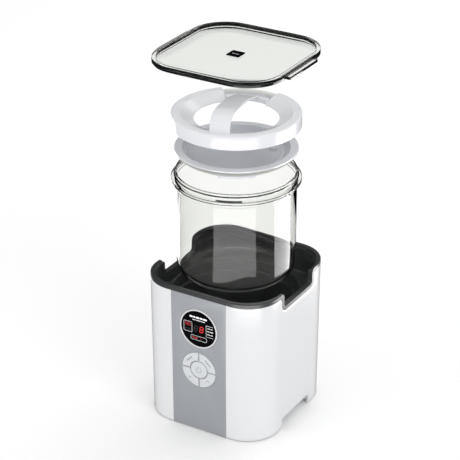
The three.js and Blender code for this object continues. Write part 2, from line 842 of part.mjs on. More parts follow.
// ---------------------------------------------------------------- dust cover
function dustCover() {
  const { bottom, halfX, halfY, corner, height, frame } = cover;
  const outside = prism(halfX, halfY, corner, bottom, bottom + height);
  const inX = halfX - frame;
  const inY = halfY - frame;
  const paneTop = bottom + pane.bottom + pane.thickness;
  let made = cut(
    outside,
    prism(inX, inY, corner - frame, paneTop, bottom + height + 1),
    prism(inX, inY, corner - frame, bottom - 1, bottom + pane.bottom),
  );
  for (const side of [-1, 1]) {
    const [x0, x1] = [side * (halfX - 1), side * (halfX + tab.reach)].sort((a, b) => a - b);
    made = joined(made, box(x0, x1, -tab.half, tab.half, bottom, bottom + tab.height));
  }
  return made;
}

function coverBadge() {
  const low = cover.bottom + pane.bottom + pane.thickness + GAP;
  const shape = roundedRectangle(badge.half, badge.half, badge.corner);
  return solid(extruded(shape, badge.thickness, 2).translate(0, badge.y, low));
}

// ---------------------------------------------------------------- materials and assembly
const material = (color, roughness, metalness = 0, opacity = 1) =>
  new THREE.MeshStandardMaterial({ color, roughness, metalness, opacity, transparent: opacity < 1 });

const finish = {
  white: () => material("#f1f2f3", 0.22),
  grey: () => material("#a3a6ad", 0.4),
  lightGrey: () => material("#d6d8dc", 0.35),
  charcoal: () => material("#26282a", 0.5),
  rubber: () => material("#1c1c1d", 0.85),
  silicone: () => material("#e6e6e2", 0.6),
  glass: () => material("#e9ece6", 0.03, 0, 0.35),
  black: () => material("#08090a", 0.1),
  board: () => material("#1f5a36", 0.5),
  aluminium: () => material("#b9bcc0", 0.35, 0.9),
  steel: () => material("#8b8e92", 0.3, 1),
  felt: () => material("#d9d4c6", 0.95),
  part: () => material("#2b2d33", 0.5),
};

function mesh(name, made, finishName) {
  const piece = new THREE.Mesh(geometryOf(made), finish[finishName]());
  piece.name = name;
  return piece;
}

const group = (...meshes) => new THREE.Group().add(...meshes);

const housing = group(
  mesh("outer_shell", outerShell(), "white"),
  mesh("inner_liner", innerLiner(), "charcoal"),
  mesh("base_plate", basePlate(), "lightGrey"),
  mesh("power_inlet", powerInlet(), "black"),
);
onCorners(foot.x, foot.y).forEach(([x, y], i) =>
  housing.add(mesh(`foot_${i + 1}`, rubberFoot(x, y), "rubber")),
);
onCorners(screw.x, screw.y).forEach(([x, y], i) =>
  housing.add(mesh(`base_screw_${i + 1}`, baseScrew(x, y), "steel")),
);

const controls = group(
  mesh("front_panel", frontPanel(), "grey"),
  mesh("display_bezel", displayBezel(), "white"),
  mesh("display_window", displayWindow(), "black"),
  mesh("digit_module", digitModule(), "part"),
  mesh("keypad_sheet", keypadSheet(), "silicone"),
  mesh("control_board", controlBoard(), "board"),
  mesh("button_power", centreButton(), "lightGrey"),
);
["timer", "mode", "down", "up"].forEach((name, quarter) =>
  controls.add(mesh(`button_${name}`, quarterButton(quarter), "lightGrey")),
);

const electrics = group(
  mesh("heater_plate", heaterPlate(), "aluminium"),
  mesh("heater_element", heaterElement(), "part"),
  mesh("temperature_sensor", temperatureSensor(), "steel"),
  mesh("thermal_fuse", thermalFuse(), "silicone"),
  mesh("insulation_sleeve", insulationSleeve(), "felt"),
  mesh("power_board", mainsBoard(), "board"),
  mesh("transformer", transformer(), "part"),
  mesh("capacitor", capacitor(), "black"),
  mesh("relay", relay(), "part"),
);

const vessel = group(
  mesh("jar", glassJar(), "glass"),
  mesh("inner_lid", innerLidBody(), "lightGrey"),
  mesh("lid_seal", lidSeal(), "silicone"),
  mesh("vent_plug", ventPlug(), "silicone"),
  mesh("ring_lid", ringLid(), "white"),
  mesh("ring_handle", ringHandle(), "white"),
  mesh("ring_gasket", ringGasket(), "silicone"),
  mesh("dust_cover", dustCover(), "glass"),
  mesh("cover_badge", coverBadge(), "black"),
);

export default group(housing, controls, electrics, vessel);
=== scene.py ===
# %% [markdown]
# # A household yoghurt maker, drawn lifted apart
#
# The machine is a rounded-square heating base with a control panel, a glass jar, a dished inner lid,
# a ring lid with a carrying strap and a clear dust cover. The CAD model, "the frame", already fixes
# every size and every joint. This script gives each piece that can be seen a finer surface and a finish.
#
# Three kinds of surface make almost the whole object:
#
# * a **loft**, which joins closed rings of equal length, one after another,
# * a **turned** piece, which is a profile of (radius, height) points swept round the Z axis,
# * a **flat piece**, which is an outline cut from a sheet.
#
# All sizes in the script are in millimetres and become metres when a mesh is made.

# %% Set up: the frame and the modules
import math

import bmesh
import bpy
import numpy as np
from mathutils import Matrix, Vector


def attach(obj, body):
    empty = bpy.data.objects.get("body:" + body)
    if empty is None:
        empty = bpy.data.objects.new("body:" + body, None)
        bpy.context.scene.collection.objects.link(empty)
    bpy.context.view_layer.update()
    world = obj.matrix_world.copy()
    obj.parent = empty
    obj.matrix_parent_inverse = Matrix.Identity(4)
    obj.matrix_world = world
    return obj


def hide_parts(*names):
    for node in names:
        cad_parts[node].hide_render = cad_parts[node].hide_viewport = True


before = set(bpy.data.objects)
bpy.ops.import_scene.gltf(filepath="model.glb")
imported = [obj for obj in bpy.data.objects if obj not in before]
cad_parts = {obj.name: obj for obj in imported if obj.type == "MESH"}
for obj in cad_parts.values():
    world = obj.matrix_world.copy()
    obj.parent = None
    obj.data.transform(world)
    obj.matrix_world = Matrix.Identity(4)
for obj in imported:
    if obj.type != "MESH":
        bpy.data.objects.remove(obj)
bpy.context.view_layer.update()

# %% [markdown]
# ## Helpers for surfaces
#
# `piece` is the only place where a mesh is made. It merges doubled points, which also closes poles,
# turns the faces outwards and keeps edges sharp where two faces meet at more than a given angle.

# %% Make a mesh object
MM = 0.001


def piece(name, points, faces, sharp=40):
    """An object at the origin from (n, 3) points in millimetres and lists of point numbers."""
    mesh = bpy.data.meshes.new(name)
    mesh.from_pydata((np.asarray(points, float) * MM).tolist(), [], faces)
    work = bmesh.new()
    work.from_mesh(mesh)
    bmesh.ops.remove_doubles(work, verts=work.verts, dist=2e-6)
    bmesh.ops.dissolve_degenerate(work, edges=work.edges, dist=1e-6)
    bmesh.ops.recalc_face_normals(work, faces=work.faces)
    work.to_mesh(mesh)
    work.free()
    mesh.shade_smooth()
    mesh.set_sharp_from_angle(angle=math.radians(sharp))
    obj = bpy.data.objects.new(name, mesh)
    bpy.context.scene.collection.objects.link(obj)
    return obj


def loft(name, rings, closed=True, caps=False, sharp=40):
    """Joins point j of each ring to point j of the next ring.

    closed joins the last ring to the first. caps closes both ends with one face each, for rings that
    are sections along a path.
    """
    grid = np.array(rings, float)
    count, around = grid.shape[:2]
    number = np.arange(count * around).reshape(count, around)
    after = np.roll(number, -1, axis=0)
    rows = count if closed else count - 1
    quads = np.stack(
        [number, np.roll(number, -1, axis=1), np.roll(after, -1, axis=1), after], axis=-1
    )[:rows]
    faces = quads.reshape(-1, 4).tolist()
    if caps:
        faces += [number[0].tolist(), number[-1][::-1].tolist()]
    return piece(name, grid.reshape(-1, 3), faces, sharp)


# %% [markdown]
# A real edge is never perfectly sharp, and it's the small highlight along it that shows its shape.
# `soften` rounds every corner of a profile with a short parabola through
# $(1-t)^2 A + 2t(1-t) P + t^2 B$, where P is the corner and A and B lie on its two sides.

# %% Profiles, turned pieces and arcs
def soften(profile, radius=0.4, steps=3, closed=True):
    """Rounds the corners of a closed or open profile by radius, or less where a side is short."""
    p = [np.array(q, float) for q in profile]
    out = []
    for i, corner in enumerate(p):
        if not closed and i in (0, len(p) - 1):
            out.append(corner)
            continue
        before, after = p[i - 1], p[(i + 1) % len(p)]
        la, lb = np.linalg.norm(before - corner), np.linalg.norm(after - corner)
        if min(la, lb) < 1e-9:
            out.append(corner)
            continue
        reach = min(radius, 0.42 * min(la, lb))
        a = corner + (before - corner) * reach / la
        b = corner + (after - corner) * reach / lb
        for t in np.linspace(0, 1, steps + 1):
            out.append((1 - t) ** 2 * a + 2 * t * (1 - t) * corner + t**2 * b)
    return np.array(out)


def arc(cr, cz, radius, start, stop, steps=8):
    """Points of an arc about (cr, cz), angles in degrees."""
    a = np.radians(np.linspace(start, stop, steps + 1))
    return np.stack([cr + radius * np.cos(a), cz + radius * np.sin(a)], axis=1)


def turned(name, profile, around=192, centre=(0, 0), bump=None, sharp=40):
    """Sweeps (radius, z) points round an upright axis: x = r cos a, y = r sin a.

    A profile that starts on the axis also ends there, and any other one is closed into a ring.
    bump(r, z, a) may change the radius, as a screw thread does.
    """
    profile = np.array(profile, float)
    a = np.linspace(0, 2 * np.pi, around, endpoint=False)[None, :]
    r = profile[:, :1] + 0 * a
    z = profile[:, 1:] + 0 * a
    if bump is not None:
        r = bump(r, z, a + 0 * r)
    rings = np.stack([centre[0] + r * np.cos(a), centre[1] + r * np.sin(a), z], axis=-1)
    return loft(name, rings, closed=profile[0][0] > 1e-6, sharp=sharp)


def box_profile(r0, r1, z0, z1):
    """The four corners of a rectangular profile."""
    return [(r0, z0), (r1, z0), (r1, z1), (r0, z1)]


def turned_part(name, profile, start, stop, steps=120):
    """A closed profile swept from one angle to another, in degrees, with a flat end at each."""
    a = np.radians(np.linspace(start, stop, steps + 1))
    r, z = np.array(profile, float).T
    rings = [np.stack([r * np.cos(t), r * np.sin(t), z], axis=1) for t in a]
    return loft(name, rings, closed=False, caps=True)


# %% [markdown]
# The base isn't round: its outline is a square with very large corners. One function places the points
# of such an outline, so that rings of different sizes match point by point. A circle is the same outline
# with a corner as large as its half width, so that the round well can join the square tub.
#
# The two X sides carry a stepped edge, the hand recess at the top and the finger grip at the foot.
# Points along those sides therefore follow an edge curve, a list of (y, z) pairs from the middle outwards.

# %% Rounded-square rings
END_X, END_Y = 42.8, 44.8  # where the straight parts of the base's outline end
STAGES = (5, 7, 5, 7, 3)  # points on an edge curve's floor, fillet, upright, flare and outer run


def edge_curve(half, low, fillet, top, flare):
    """(y, z) of a recess's edge: floor, fillet arc, upright, flare arc, then level."""
    n = STAGES
    inner = np.radians(np.linspace(-90, 0, n[1]))
    outer = np.radians(np.linspace(180, 90, n[3]))
    y = np.concatenate([
        np.linspace(0, half - fillet, n[0]),
        half - fillet + fillet * np.cos(inner),
        np.full(n[2], half),
        half + flare + flare * np.cos(outer),
        np.linspace(half + flare, END_Y, n[4]),
    ])
    z = np.concatenate([
        np.full(n[0], low),
        low + fillet + fillet * np.sin(inner),
        np.linspace(low + fillet, top - flare, n[2]),
        top - flare + flare * np.sin(outer),
        np.full(n[4], top),
    ])
    return {"y": np.minimum(y, END_Y), "z": z, "flat": top}


def arch_curve(half, top, corner, foot):
    """(y, z) of the grip's edge: level top, corner arc, upright, then level along the foot."""
    n = STAGES
    turn = np.radians(np.linspace(90, 0, n[1]))
    y = np.concatenate([
        np.linspace(0, half - corner, n[0]),
        half - corner + corner * np.cos(turn),
        np.full(n[2], half),
        np.linspace(half, half + 5, n[3]),
        np.linspace(half + 5, END_Y, n[4]),
    ])
    z = np.concatenate([
        np.full(n[0], top),
        top - corner + corner * np.sin(turn),
        np.linspace(top - corner, foot, n[2]),
        np.full(n[3] + n[4], foot),
    ])
    return {"y": y, "z": z, "flat": foot}


def level_at(z, like):
    """The curve like, cut off at height z."""
    return {"y": like["y"], "z": np.minimum(like["z"], z), "flat": min(like["flat"], z)}


def moved(curve, dz):
    """The curve, raised by dz."""
    return {"y": curve["y"], "z": curve["z"] + dz, "flat": curve["flat"] + dz}


def between(low, high, t):
    """The curve a share t of the way from low to high."""
    return {key: (1 - t) * low[key] + t * high[key] for key in ("y", "z", "flat")}


def ring(half_x, half_y, corner, curve, front=None, turn=22):
    """(n, 3) points anticlockwise from the middle of the +X side.

    On a side, the outline at distance v from the middle lies at
    h - c + sqrt(c^2 - (v - (w - c))^2) past the straight part, where h is this half width, w the other
    and c the corner. front is (x, inset) pairs along the -Y side.
    """
    def out(v, h, w):
        """The outline's distance from the middle line at v, by the formula above."""
        past = np.maximum(np.abs(v) - (w - corner), 0)
        return h - corner + np.sqrt(np.maximum(corner**2 - past**2, 0))

    y = curve["y"]
    side = np.stack([out(y, half_x, half_y), y, curve["z"]], axis=1)
    start = math.asin(np.clip((END_Y - half_y + corner) / corner, -1, 1))
    stop = math.acos(np.clip((END_X - half_x + corner) / corner, -1, 1))
    a = np.linspace(start, stop, turn)[1:-1]
    quarter = np.stack(
        [half_x - corner + corner * np.cos(a), half_y - corner + corner * np.sin(a), 0 * a + curve["flat"]],
        axis=1,
    )
    x = np.linspace(END_X, -END_X, 11) if front is None else np.array([q[0] for q in front])[::-1]
    inset = 0 * x if front is None else np.array([q[1] for q in front])[::-1]
    back = np.stack([x, out(x, half_y, half_x), 0 * x + curve["flat"]], axis=1)
    face = np.stack([x, -out(x, half_y, half_x) + inset, 0 * x + curve["flat"]], axis=1)[::-1]
    flip_x, flip_y = np.array([-1, 1, 1]), np.array([1, -1, 1])
    return np.concatenate([
        side,
        quarter,
        back,
        (quarter * flip_x)[::-1],
        (side * flip_x)[::-1],
        side[1:] * flip_x * flip_y,
        quarter * flip_x * flip_y,
        face,
        (quarter * flip_y)[::-1],
        (side[1:] * flip_y)[::-1],
    ])


# %% [markdown]
# ## Flat pieces
#
# Keys, the panel and the marks on the display are outlines cut from a sheet. A two-dimensional curve
# with holes does that exactly, and its extrude and bevel settings give the thickness and the rounded
# edge. They are drawn in (x, z), stood up in front of the base and then leaned in with the shell,
# because the shell's foot is a little smaller than its top.

# %% The shell's taper, and sheets cut from outlines
FOOT, SHELL_TOP, DRAFT = 1.5, 184.2, 0.015


def lean(points, x_too=False):
    """Scales y, and x where asked, by 1 - draft (1 - height share)."""
    points = np.array(points, float)
    share = 1 - DRAFT * (1 - (points[..., 2] - FOOT) / (SHELL_TOP - FOOT))
    points[..., 1] *= share
    if x_too:
        points[..., 0] *= share
    return points


def sheet(name, loops, front, thickness, edge=0.0, stand=True):
    """Closed (x, z) loops, holes included, as a sheet whose outer face lies at y = front.

    edge is the width of its rounded edge. A sheet that doesn't stand lies flat with its top at z = front.
    """
    curve = bpy.data.curves.new(name, "CURVE")
    curve.dimensions = "2D"
    curve.fill_mode = "BOTH"
    curve.extrude = thickness / 2 - edge
    curve.bevel_depth = edge
    curve.bevel_resolution = 2
    curve.offset = -edge
    for loop in loops:
        spline = curve.splines.new("POLY")
        spline.points.add(len(loop) - 1)
        for point, (u, v) in zip(spline.points, loop):
            point.co = (u, v, 0, 1)
        spline.use_cyclic_u = True
    holder = bpy.data.objects.new(name + "_outline", curve)
    bpy.context.scene.collection.objects.link(holder)
    bpy.context.view_layer.update()
    made = bpy.data.meshes.new_from_object(holder.evaluated_get(bpy.context.evaluated_depsgraph_get()))
    bpy.data.objects.remove(holder)
    co = np.array([v.co for v in made.vertices], float)
    faces = [list(p.vertices) for p in made.polygons]
    bpy.data.meshes.remove(made)
    if stand:
        placed = np.stack([co[:, 0], front + thickness / 2 - co[:, 2], co[:, 1]], axis=1)
        return piece(name, lean(placed), faces, 50)
    return piece(name, np.stack([co[:, 0], co[:, 1], front - thickness / 2 + co[:, 2]], axis=1), faces, 50)


def circle(radius, x=0.0, z=0.0, count=96):
    """Points evenly round a circle."""
    a = np.linspace(0, 2 * np.pi, count, endpoint=False)
    return np.stack([x + radius * np.cos(a), z + radius * np.sin(a)], axis=1)


def bar_loop(x0, x1, z0, z1, corner=0.0, steps=6):
    """A rectangle with rounded corners."""
    c = min(corner, (x1 - x0) / 2, (z1 - z0) / 2)
    if c <= 0:
        return np.array([(x0, z0), (x1, z0), (x1, z1), (x0, z1)], float)
    corners = [(x1 - c, z1 - c, 0), (x0 + c, z1 - c, 90), (x0 + c, z0 + c, 180), (x1 - c, z0 + c, 270)]
    return np.concatenate([arc(x, z, c, start, start + 90, steps) for x, z, start in corners])


# %% [markdown]
# ## Finishes
#
# Every finish is procedural and reads Object coordinates, so it is the same from every side. A noise
# makes the moulded surface very slightly uneven, through a bump, and moves its roughness a little.

# %% Material maker
def finish(name, colour, roughness, grain=900.0, bump=0.02, spread=0.06, shade=0.04, **inputs):
    """A Principled material whose colour, roughness and relief vary with a noise.

    grain is the noise's scale per metre, bump its height in millimetres, spread the share by which
    roughness varies and shade the share by which colour does. inputs are further Principled sockets.
    """
    made = bpy.data.materials.new(name)
    made.use_nodes = True
    nodes, links = made.node_tree.nodes, made.node_tree.links
    shader = nodes["Principled BSDF"]
    where = nodes.new("ShaderNodeTexCoord")
    noise = nodes.new("ShaderNodeTexNoise")
    noise.inputs["Scale"].default_value = grain
    noise.inputs["Detail"].default_value = 3
    links.new(where.outputs["Object"], noise.inputs["Vector"])
    rough = nodes.new("ShaderNodeMapRange")
    rough.inputs["To Min"].default_value = max(roughness - spread, 0)
    rough.inputs["To Max"].default_value = roughness + spread
    links.new(noise.outputs["Fac"], rough.inputs["Value"])
    links.new(rough.outputs["Result"], shader.inputs["Roughness"])
    if shade:
        cloud = nodes.new("ShaderNodeTexNoise")
        cloud.inputs["Scale"].default_value = grain / 12
        links.new(where.outputs["Object"], cloud.inputs["Vector"])
        mix = nodes.new("ShaderNodeMix")
        mix.data_type = "RGBA"
        links.new(cloud.outputs["Fac"], mix.inputs["Factor"])
        mix.inputs["A"].default_value = (*[c * (1 - shade) for c in colour], 1)
        mix.inputs["B"].default_value = (*[min(c * (1 + shade), 1) for c in colour], 1)
        links.new(mix.outputs["Result"], shader.inputs["Base Color"])
    else:
        shader.inputs["Base Color"].default_value = (*colour, 1)
    if bump:
        relief = nodes.new("ShaderNodeBump")
        relief.inputs["Strength"].default_value = 0.5
        relief.inputs["Distance"].default_value = bump * MM
        links.new(noise.outputs["Fac"], relief.inputs["Height"])
        links.new(relief.outputs["Normal"], shader.inputs["Normal"])
    for key, value in inputs.items():
        shader.inputs[key.replace("_", " ")].default_value = value
    return made


# %% [markdown]
# The first numbers of a finish are its colour and its roughness. The rest say how far they wander. The
# glass has an index near that of air, because the jar bends very little of what stands behind it; a
# faint coat gives it reflections instead.

# %% The finishes
CLEAR_GLASS = (0.99, 0.995, 0.98)
look = {
    "shell": finish(
        "shell_white", (0.82, 0.825, 0.835), 0.17, 300, 0.003, 0.03, 0.01,
        Specular_IOR_Level=0.3,
    ),
    "panel": finish("panel_grey", (0.365, 0.38, 0.405), 0.38, 2500, 0.004, 0.06, 0.02),
    "key": finish("key_grey", (0.70, 0.72, 0.74), 0.42, 2600, 0.006, 0.05, 0.02),
    "ink": finish("key_ink", (0.34, 0.35, 0.37), 0.5, 2600, 0.0, 0.05, 0.03),
    "lid": finish("lid_grey", (0.56, 0.575, 0.61), 0.33, 700, 0.008, 0.06, 0.02),
    # painted highlight: a lighter grey for the lid's rim and raised line, on top of their smoother finish
    "rim": finish("lid_polished_painted_light", (0.70, 0.71, 0.735), 0.25, 700, 0.004, 0.04, 0.015),
    "ring": finish(
        "ring_white", (0.805, 0.81, 0.84), 0.2, 600, 0.005, 0.05, 0.015,
        Specular_IOR_Level=0.3,
    ),
    "charcoal": finish("charcoal", (0.044, 0.046, 0.048), 0.36, 2200, 0.012, 0.08, 0.2),
    "glass": finish(
        "glass_clear", CLEAR_GLASS, 0.0, 60, 0.0, 0.005, 0,
        Transmission_Weight=1, IOR=1.07, Coat_Roughness=0.01,
    ),
    "clear": finish(
        "cover_clear", (0.968, 0.986, 0.95), 0.02, 90, 0.0, 0.01, 0,
        Transmission_Weight=1, IOR=1.2, Coat_Weight=0.6, Coat_Roughness=0.02,
    ),
    # painted shade: the near-black colour of the cover's upright edges stands in for the darkness of
    # refraction
    "edge": finish(
        "cover_painted_dark_edge", (0.010, 0.011, 0.011), 0.06, 200, 0.0, 0.02, 0,
        Transmission_Weight=0.3, IOR=1.25,
    ),
    "lens": finish(
        "display_lens", (0.004, 0.004, 0.005), 0.08, 400, 0.002, 0.03, 0.3,
        Specular_IOR_Level=0.08,
    ),
    "rubber": finish("rubber_black", (0.018, 0.018, 0.018), 0.8, 3000, 0.03, 0.08, 0.2),
    "silicone": finish(
        "silicone", (0.74, 0.74, 0.71), 0.5, 1500, 0.01, 0.08, 0.04,
        Subsurface_Weight=0.1,
    ),
    "board": finish("board_green", (0.02, 0.13, 0.05), 0.4, 1800, 0.02, 0.1, 0.3),
    "dark": finish("component_dark", (0.022, 0.023, 0.027), 0.5, 2400, 0.02, 0.1, 0.2),
    "aluminium": finish("aluminium", (0.70, 0.71, 0.73), 0.32, 1200, 0.01, 0.1, 0.03, Metallic=1),
    "steel": finish("steel_zinc", (0.50, 0.51, 0.53), 0.28, 2000, 0.008, 0.1, 0.06, Metallic=1),
    "felt": finish("felt", (0.62, 0.58, 0.50), 0.95, 4200, 0.2, 0.04, 0.12, Sheen_Weight=0.4),
    "mark": finish("mark_white", (0.85, 0.86, 0.86), 0.4, 2000, 0.0, 0.05, 0.02, Emission_Strength=0.25),
    "dim": finish("mark_dim", (0.035, 0.035, 0.04), 0.4, 2000, 0.0, 0.05, 0.1),
    "red": finish("mark_red", (0.55, 0.02, 0.02), 0.4, 2000, 0.0, 0.05, 0.02, Emission_Strength=0.6),
    "ember": finish(
        "mark_ember", (0.30, 0.012, 0.014), 0.4, 2000, 0.0, 0.05, 0.02,
        Emission_Strength=0.12,
    ),
}
print(len(look), "finishes")

# %% [markdown]
# Clear solids need more than a surface. Absorption in the glass darkens long paths through its wall, so
# the jar shows its outline. Two numbers on each face say where the coat lies and which narrow faces are
# painted dark: painted shade for the darkness that refraction gives the rounded edges of thick glass.

# %% Glass, and the colours of lit marks
def tinted(material, colour, density):
    """Adds absorption inside a clear solid: light falls by exp(-density (1 - colour) length)."""
    tree = material.node_tree
    inside = tree.nodes.new("ShaderNodeVolumeAbsorption")
    inside.inputs["Color"].default_value = (*colour, 1)
    inside.inputs["Density"].default_value = density
    output = next(n for n in tree.nodes if n.type == "OUTPUT_MATERIAL")
    tree.links.new(inside.outputs["Volume"], output.inputs["Volume"])


def by_face(material, clear, dark):
    """Lets two numbers kept on every face set the coat's weight and the mix of two colours."""
    nodes, links = material.node_tree.nodes, material.node_tree.links
    shader = nodes["Principled BSDF"]
    gloss, painted_edge_shade = nodes.new("ShaderNodeAttribute"), nodes.new("ShaderNodeAttribute")
    gloss.attribute_name, painted_edge_shade.attribute_name = "gloss", "painted_edge_shade"
    mix = nodes.new("ShaderNodeMix")
    mix.data_type = "RGBA"
    mix.inputs["A"].default_value, mix.inputs["B"].default_value = (*clear, 1), (*dark, 1)
    links.new(painted_edge_shade.outputs["Fac"], mix.inputs["Factor"])
    links.new(mix.outputs["Result"], shader.inputs["Base Color"])
    links.new(gloss.outputs["Fac"], shader.inputs["Coat Weight"])


def glowing(kind, colour):
    """Sets the colour that a lit mark gives off."""
    look[kind].node_tree.nodes["Principled BSDF"].inputs["Emission Color"].default_value = (*colour, 1)


tinted(look["glass"], (0.15, 0.17, 0.10), 24)
# the dark colour paints shade on the jar's rounded edges
by_face(look["glass"], CLEAR_GLASS, (0.02, 0.022, 0.022))
glowing("mark", (0.9, 0.92, 0.95))
glowing("red", (1.0, 0.03, 0.03))
glowing("ember", (1.0, 0.03, 0.03))
print("absorption, face numbers and glow are set")

# %% [markdown]
# Every piece gets a finish and a body of the frame.


# %% Dress a piece
def dress(obj, kind, body="base", replaces=()):
    """Gives a piece its finish and its body, and says which CAD nodes it stands for."""
    obj.data.materials.clear()
    obj.data.materials.append(look[kind])
    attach(obj, body)
    if replaces:
        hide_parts(*replaces)
    return obj


# %% [markdown]
# ## The white shell
#
# The shell is a tube with a wall of 3 mm. Its top edge dips round each hand recess, its lower edge rises
# over each finger grip, and a shallow inlay in its front takes the panel. It could be cut out of a plain
# tube with booleans, but a loft between the two edge curves gives even quads and clean highlights.

# %% The shell
BASE = (86.0, 88.0, 43.2)  # half width, half depth and corner
WALL, GAP = 3.0, 0.3
COLLAR_H, COLLAR_WALL = 5.0, 5.0
RIM_TOP = SHELL_TOP + GAP + COLLAR_H
RECESS_HALF, RECESS_FILLET, RECESS_FLARE = 34.4, 5.0, 6.0
RECESS_LOW = RIM_TOP - 19.4
SET_BACK = COLLAR_WALL + GAP  # of the shell's edge behind the collar's
GRIP_H, GRIP_CORNER = 12, 4
PANEL_HALF, INLAY_DEPTH = 37.4, 1.5
shell_edge = edge_curve(
    RECESS_HALF + SET_BACK, RECESS_LOW - SET_BACK, RECESS_FILLET + SET_BACK, SHELL_TOP, RECESS_FLARE
)
grip_edge = arch_curve(RECESS_HALF, FOOT + GRIP_H, GRIP_CORNER, FOOT)

edge = PANEL_HALF + GAP
inlay = [(x, 0) for x in (-END_X, -40, -edge)]
inlay += [(x, INLAY_DEPTH) for x in (-edge, -20, 0, 20, edge)]
inlay += [(x, 0) for x in (edge, 40, END_X)]
plain = [(x, 0) for x, _ in inlay]


def shell_ring(inset, share, dz=0.0, front=inlay):
    """The base's outline, drawn in by inset, a share of the way up between the shell's two edges."""
    curve = moved(between(grip_edge, shell_edge, share), dz)
    return ring(BASE[0] - inset, BASE[1] - inset, BASE[2] - inset, curve, front)


rings = [shell_ring(0.5, 0.0), shell_ring(0.15, 0.0, 0.15), shell_ring(0, 0.0, 0.5)]
rings += [shell_ring(0, t) for t in (0.02, 0.06, 0.12, 0.25, 0.5, 0.75, 0.88, 0.94, 0.98)]
rings += [shell_ring(0, 1, -0.5), shell_ring(0.15, 1, -0.15), shell_ring(0.5, 1)]
rings += [shell_ring(WALL, t, 0, plain) for t in (1, 0.98, 0.5, 0.02, 0)]
shell = dress(loft("shell", lean(rings, True), sharp=32), "shell", "base", ["outer_shell"])
print("shell:", len(shell.data.polygons), "faces")

# %% [markdown]
# ## The charcoal liner
#
# One moulding makes the collar round the top, the tub and the well that the jar sits in. Its rings start
# under the collar, go over the rim, down the tub, across the shelf, down the round well and back again
# outside. Inside the recesses every ring is cut off at the recess's own edge curve.

# %% The liner
rim_edge = edge_curve(RECESS_HALF, RECESS_LOW, RECESS_FILLET, RIM_TOP, RECESS_FLARE)
band_edge = edge_curve(
    RECESS_HALF + COLLAR_WALL, RECESS_LOW - COLLAR_WALL, RECESS_FILLET + COLLAR_WALL,
    SHELL_TOP + GAP, RECESS_FLARE,
)
SEAT = (82.8, 83.6, 45.5)  # of the dust cover
STEP = (80.0, 80.4, 37.2)
TUB = (79.2, 79.6, 36.4)
TUB_UNDER = (81.2, 81.6, 38.4)
SEAT_FLOOR, STEP_FLOOR = 186.2, 176.9
SHELF = 138.0  # that the jar's flange comes down to
WELL_R, UPPER_R, WELL_WALL = 74.5, 78.2, 2.0
TUB_FLOOR, WELL_FLOOR = 154.5, 25.2
seat_edge = moved(rim_edge, -0.5)


def inset_of(outline, d):
    """An outline (half width, half depth, corner) drawn in by d."""
    return tuple(v - d for v in outline)


def circle_of(radius):
    """A circle written as such an outline."""
    return (radius, radius, radius)


def liner_ring(outline, curve):
    """The ring of points of an outline along an edge curve."""
    return ring(*outline, curve)


rings = [liner_ring(inset_of(BASE, 3.4), band_edge), liner_ring(BASE, band_edge)]
rings += [liner_ring(BASE, between(band_edge, rim_edge, t)) for t in (0.1, 0.35, 0.65, 0.85)]
rings += [
    liner_ring(inset_of(BASE, d), moved(rim_edge, -h))
    for d, h in ((0, 0.7), (0.1, 0.4), (0.3, 0.15), (0.7, 0))
]
rings += [
    liner_ring(inset_of(SEAT, -0.6), rim_edge),
    liner_ring(inset_of(SEAT, -0.2), moved(rim_edge, -0.12)),
    liner_ring(SEAT, seat_edge),
    liner_ring(SEAT, level_at(SEAT_FLOOR + 0.2, seat_edge)),
    liner_ring(inset_of(SEAT, 0.3), level_at(SEAT_FLOOR, seat_edge)),
    liner_ring(inset_of(STEP, -0.4), level_at(SEAT_FLOOR, seat_edge)),
    liner_ring(STEP, level_at(SEAT_FLOOR - 0.4, seat_edge)),
]
for outline, z in (
    (STEP, STEP_FLOOR + 0.1),
    (TUB, STEP_FLOOR),
    (TUB, STEP_FLOOR - 0.4),
    (TUB, 168.0),
    (TUB, TUB_FLOOR + 2),
    (inset_of(TUB, 0.15), TUB_FLOOR + 1.1),
    (inset_of(TUB, 0.4), TUB_FLOOR + 0.4),
    (inset_of(TUB, 0.8), TUB_FLOOR),
    (circle_of(UPPER_R + 0.2), TUB_FLOOR),
    (circle_of(UPPER_R + 0.05), TUB_FLOOR - 0.1),
    (circle_of(UPPER_R), TUB_FLOOR - 0.5),
    (circle_of(UPPER_R), SHELF + 0.6),
    (circle_of(UPPER_R - 0.5), SHELF),
    (circle_of(WELL_R + 0.7), SHELF),
    (circle_of(WELL_R + 0.1), SHELF - 0.2),
    (circle_of(WELL_R), SHELF - 0.8),
    (circle_of(WELL_R), 80.0),
    *[(circle_of(r), z) for r, z in arc(WELL_R - 4, WELL_FLOOR + 4, 4, 0, -90, 6)],
    (circle_of(30.0), WELL_FLOOR),
):
    rings.append(liner_ring(outline, level_at(z, rim_edge)))
middle_top = rings[-1] * [0, 0, 0] + [0, 0, WELL_FLOOR]
middle_under = rings[-1] * [0, 0, 0] + [0, 0, WELL_FLOOR - WELL_WALL]
rings += [middle_top, middle_under]
for outline, z in (
    (circle_of(WELL_R - WELL_WALL), WELL_FLOOR - WELL_WALL),
    (circle_of(WELL_R + WELL_WALL), WELL_FLOOR + WELL_WALL),
    (circle_of(WELL_R + WELL_WALL), SHELF - WELL_WALL),
    (circle_of(UPPER_R + WELL_WALL), SHELF - WELL_WALL),
    (circle_of(UPPER_R + WELL_WALL), TUB_FLOOR - WELL_WALL),
    (TUB_UNDER, TUB_FLOOR - WELL_WALL),
    (TUB_UNDER, 166.0),
):
    rings.append(liner_ring(outline, level_at(z, band_edge)))
liner = dress(loft("liner", rings, sharp=32), "charcoal", "base", ["inner_liner"])
print("liner:", len(liner.data.polygons), "faces")

# %% [markdown]
# ## The front panel and its display
#
# The panel is a flat sheet with holes for the display and the keys, so it is cut from outlines. A sheet
# of silicone closes the gaps between the keys from behind.

# %% The panel
FACE = -88.0
DISPLAY_Z, DISPLAY_R = 141.8, 25.6
KEYS_Z, KEY_OUT, KEY_IN, KEY_MID, SPLIT = 85.4, 23.2, 12.4, 11.2, 1.6


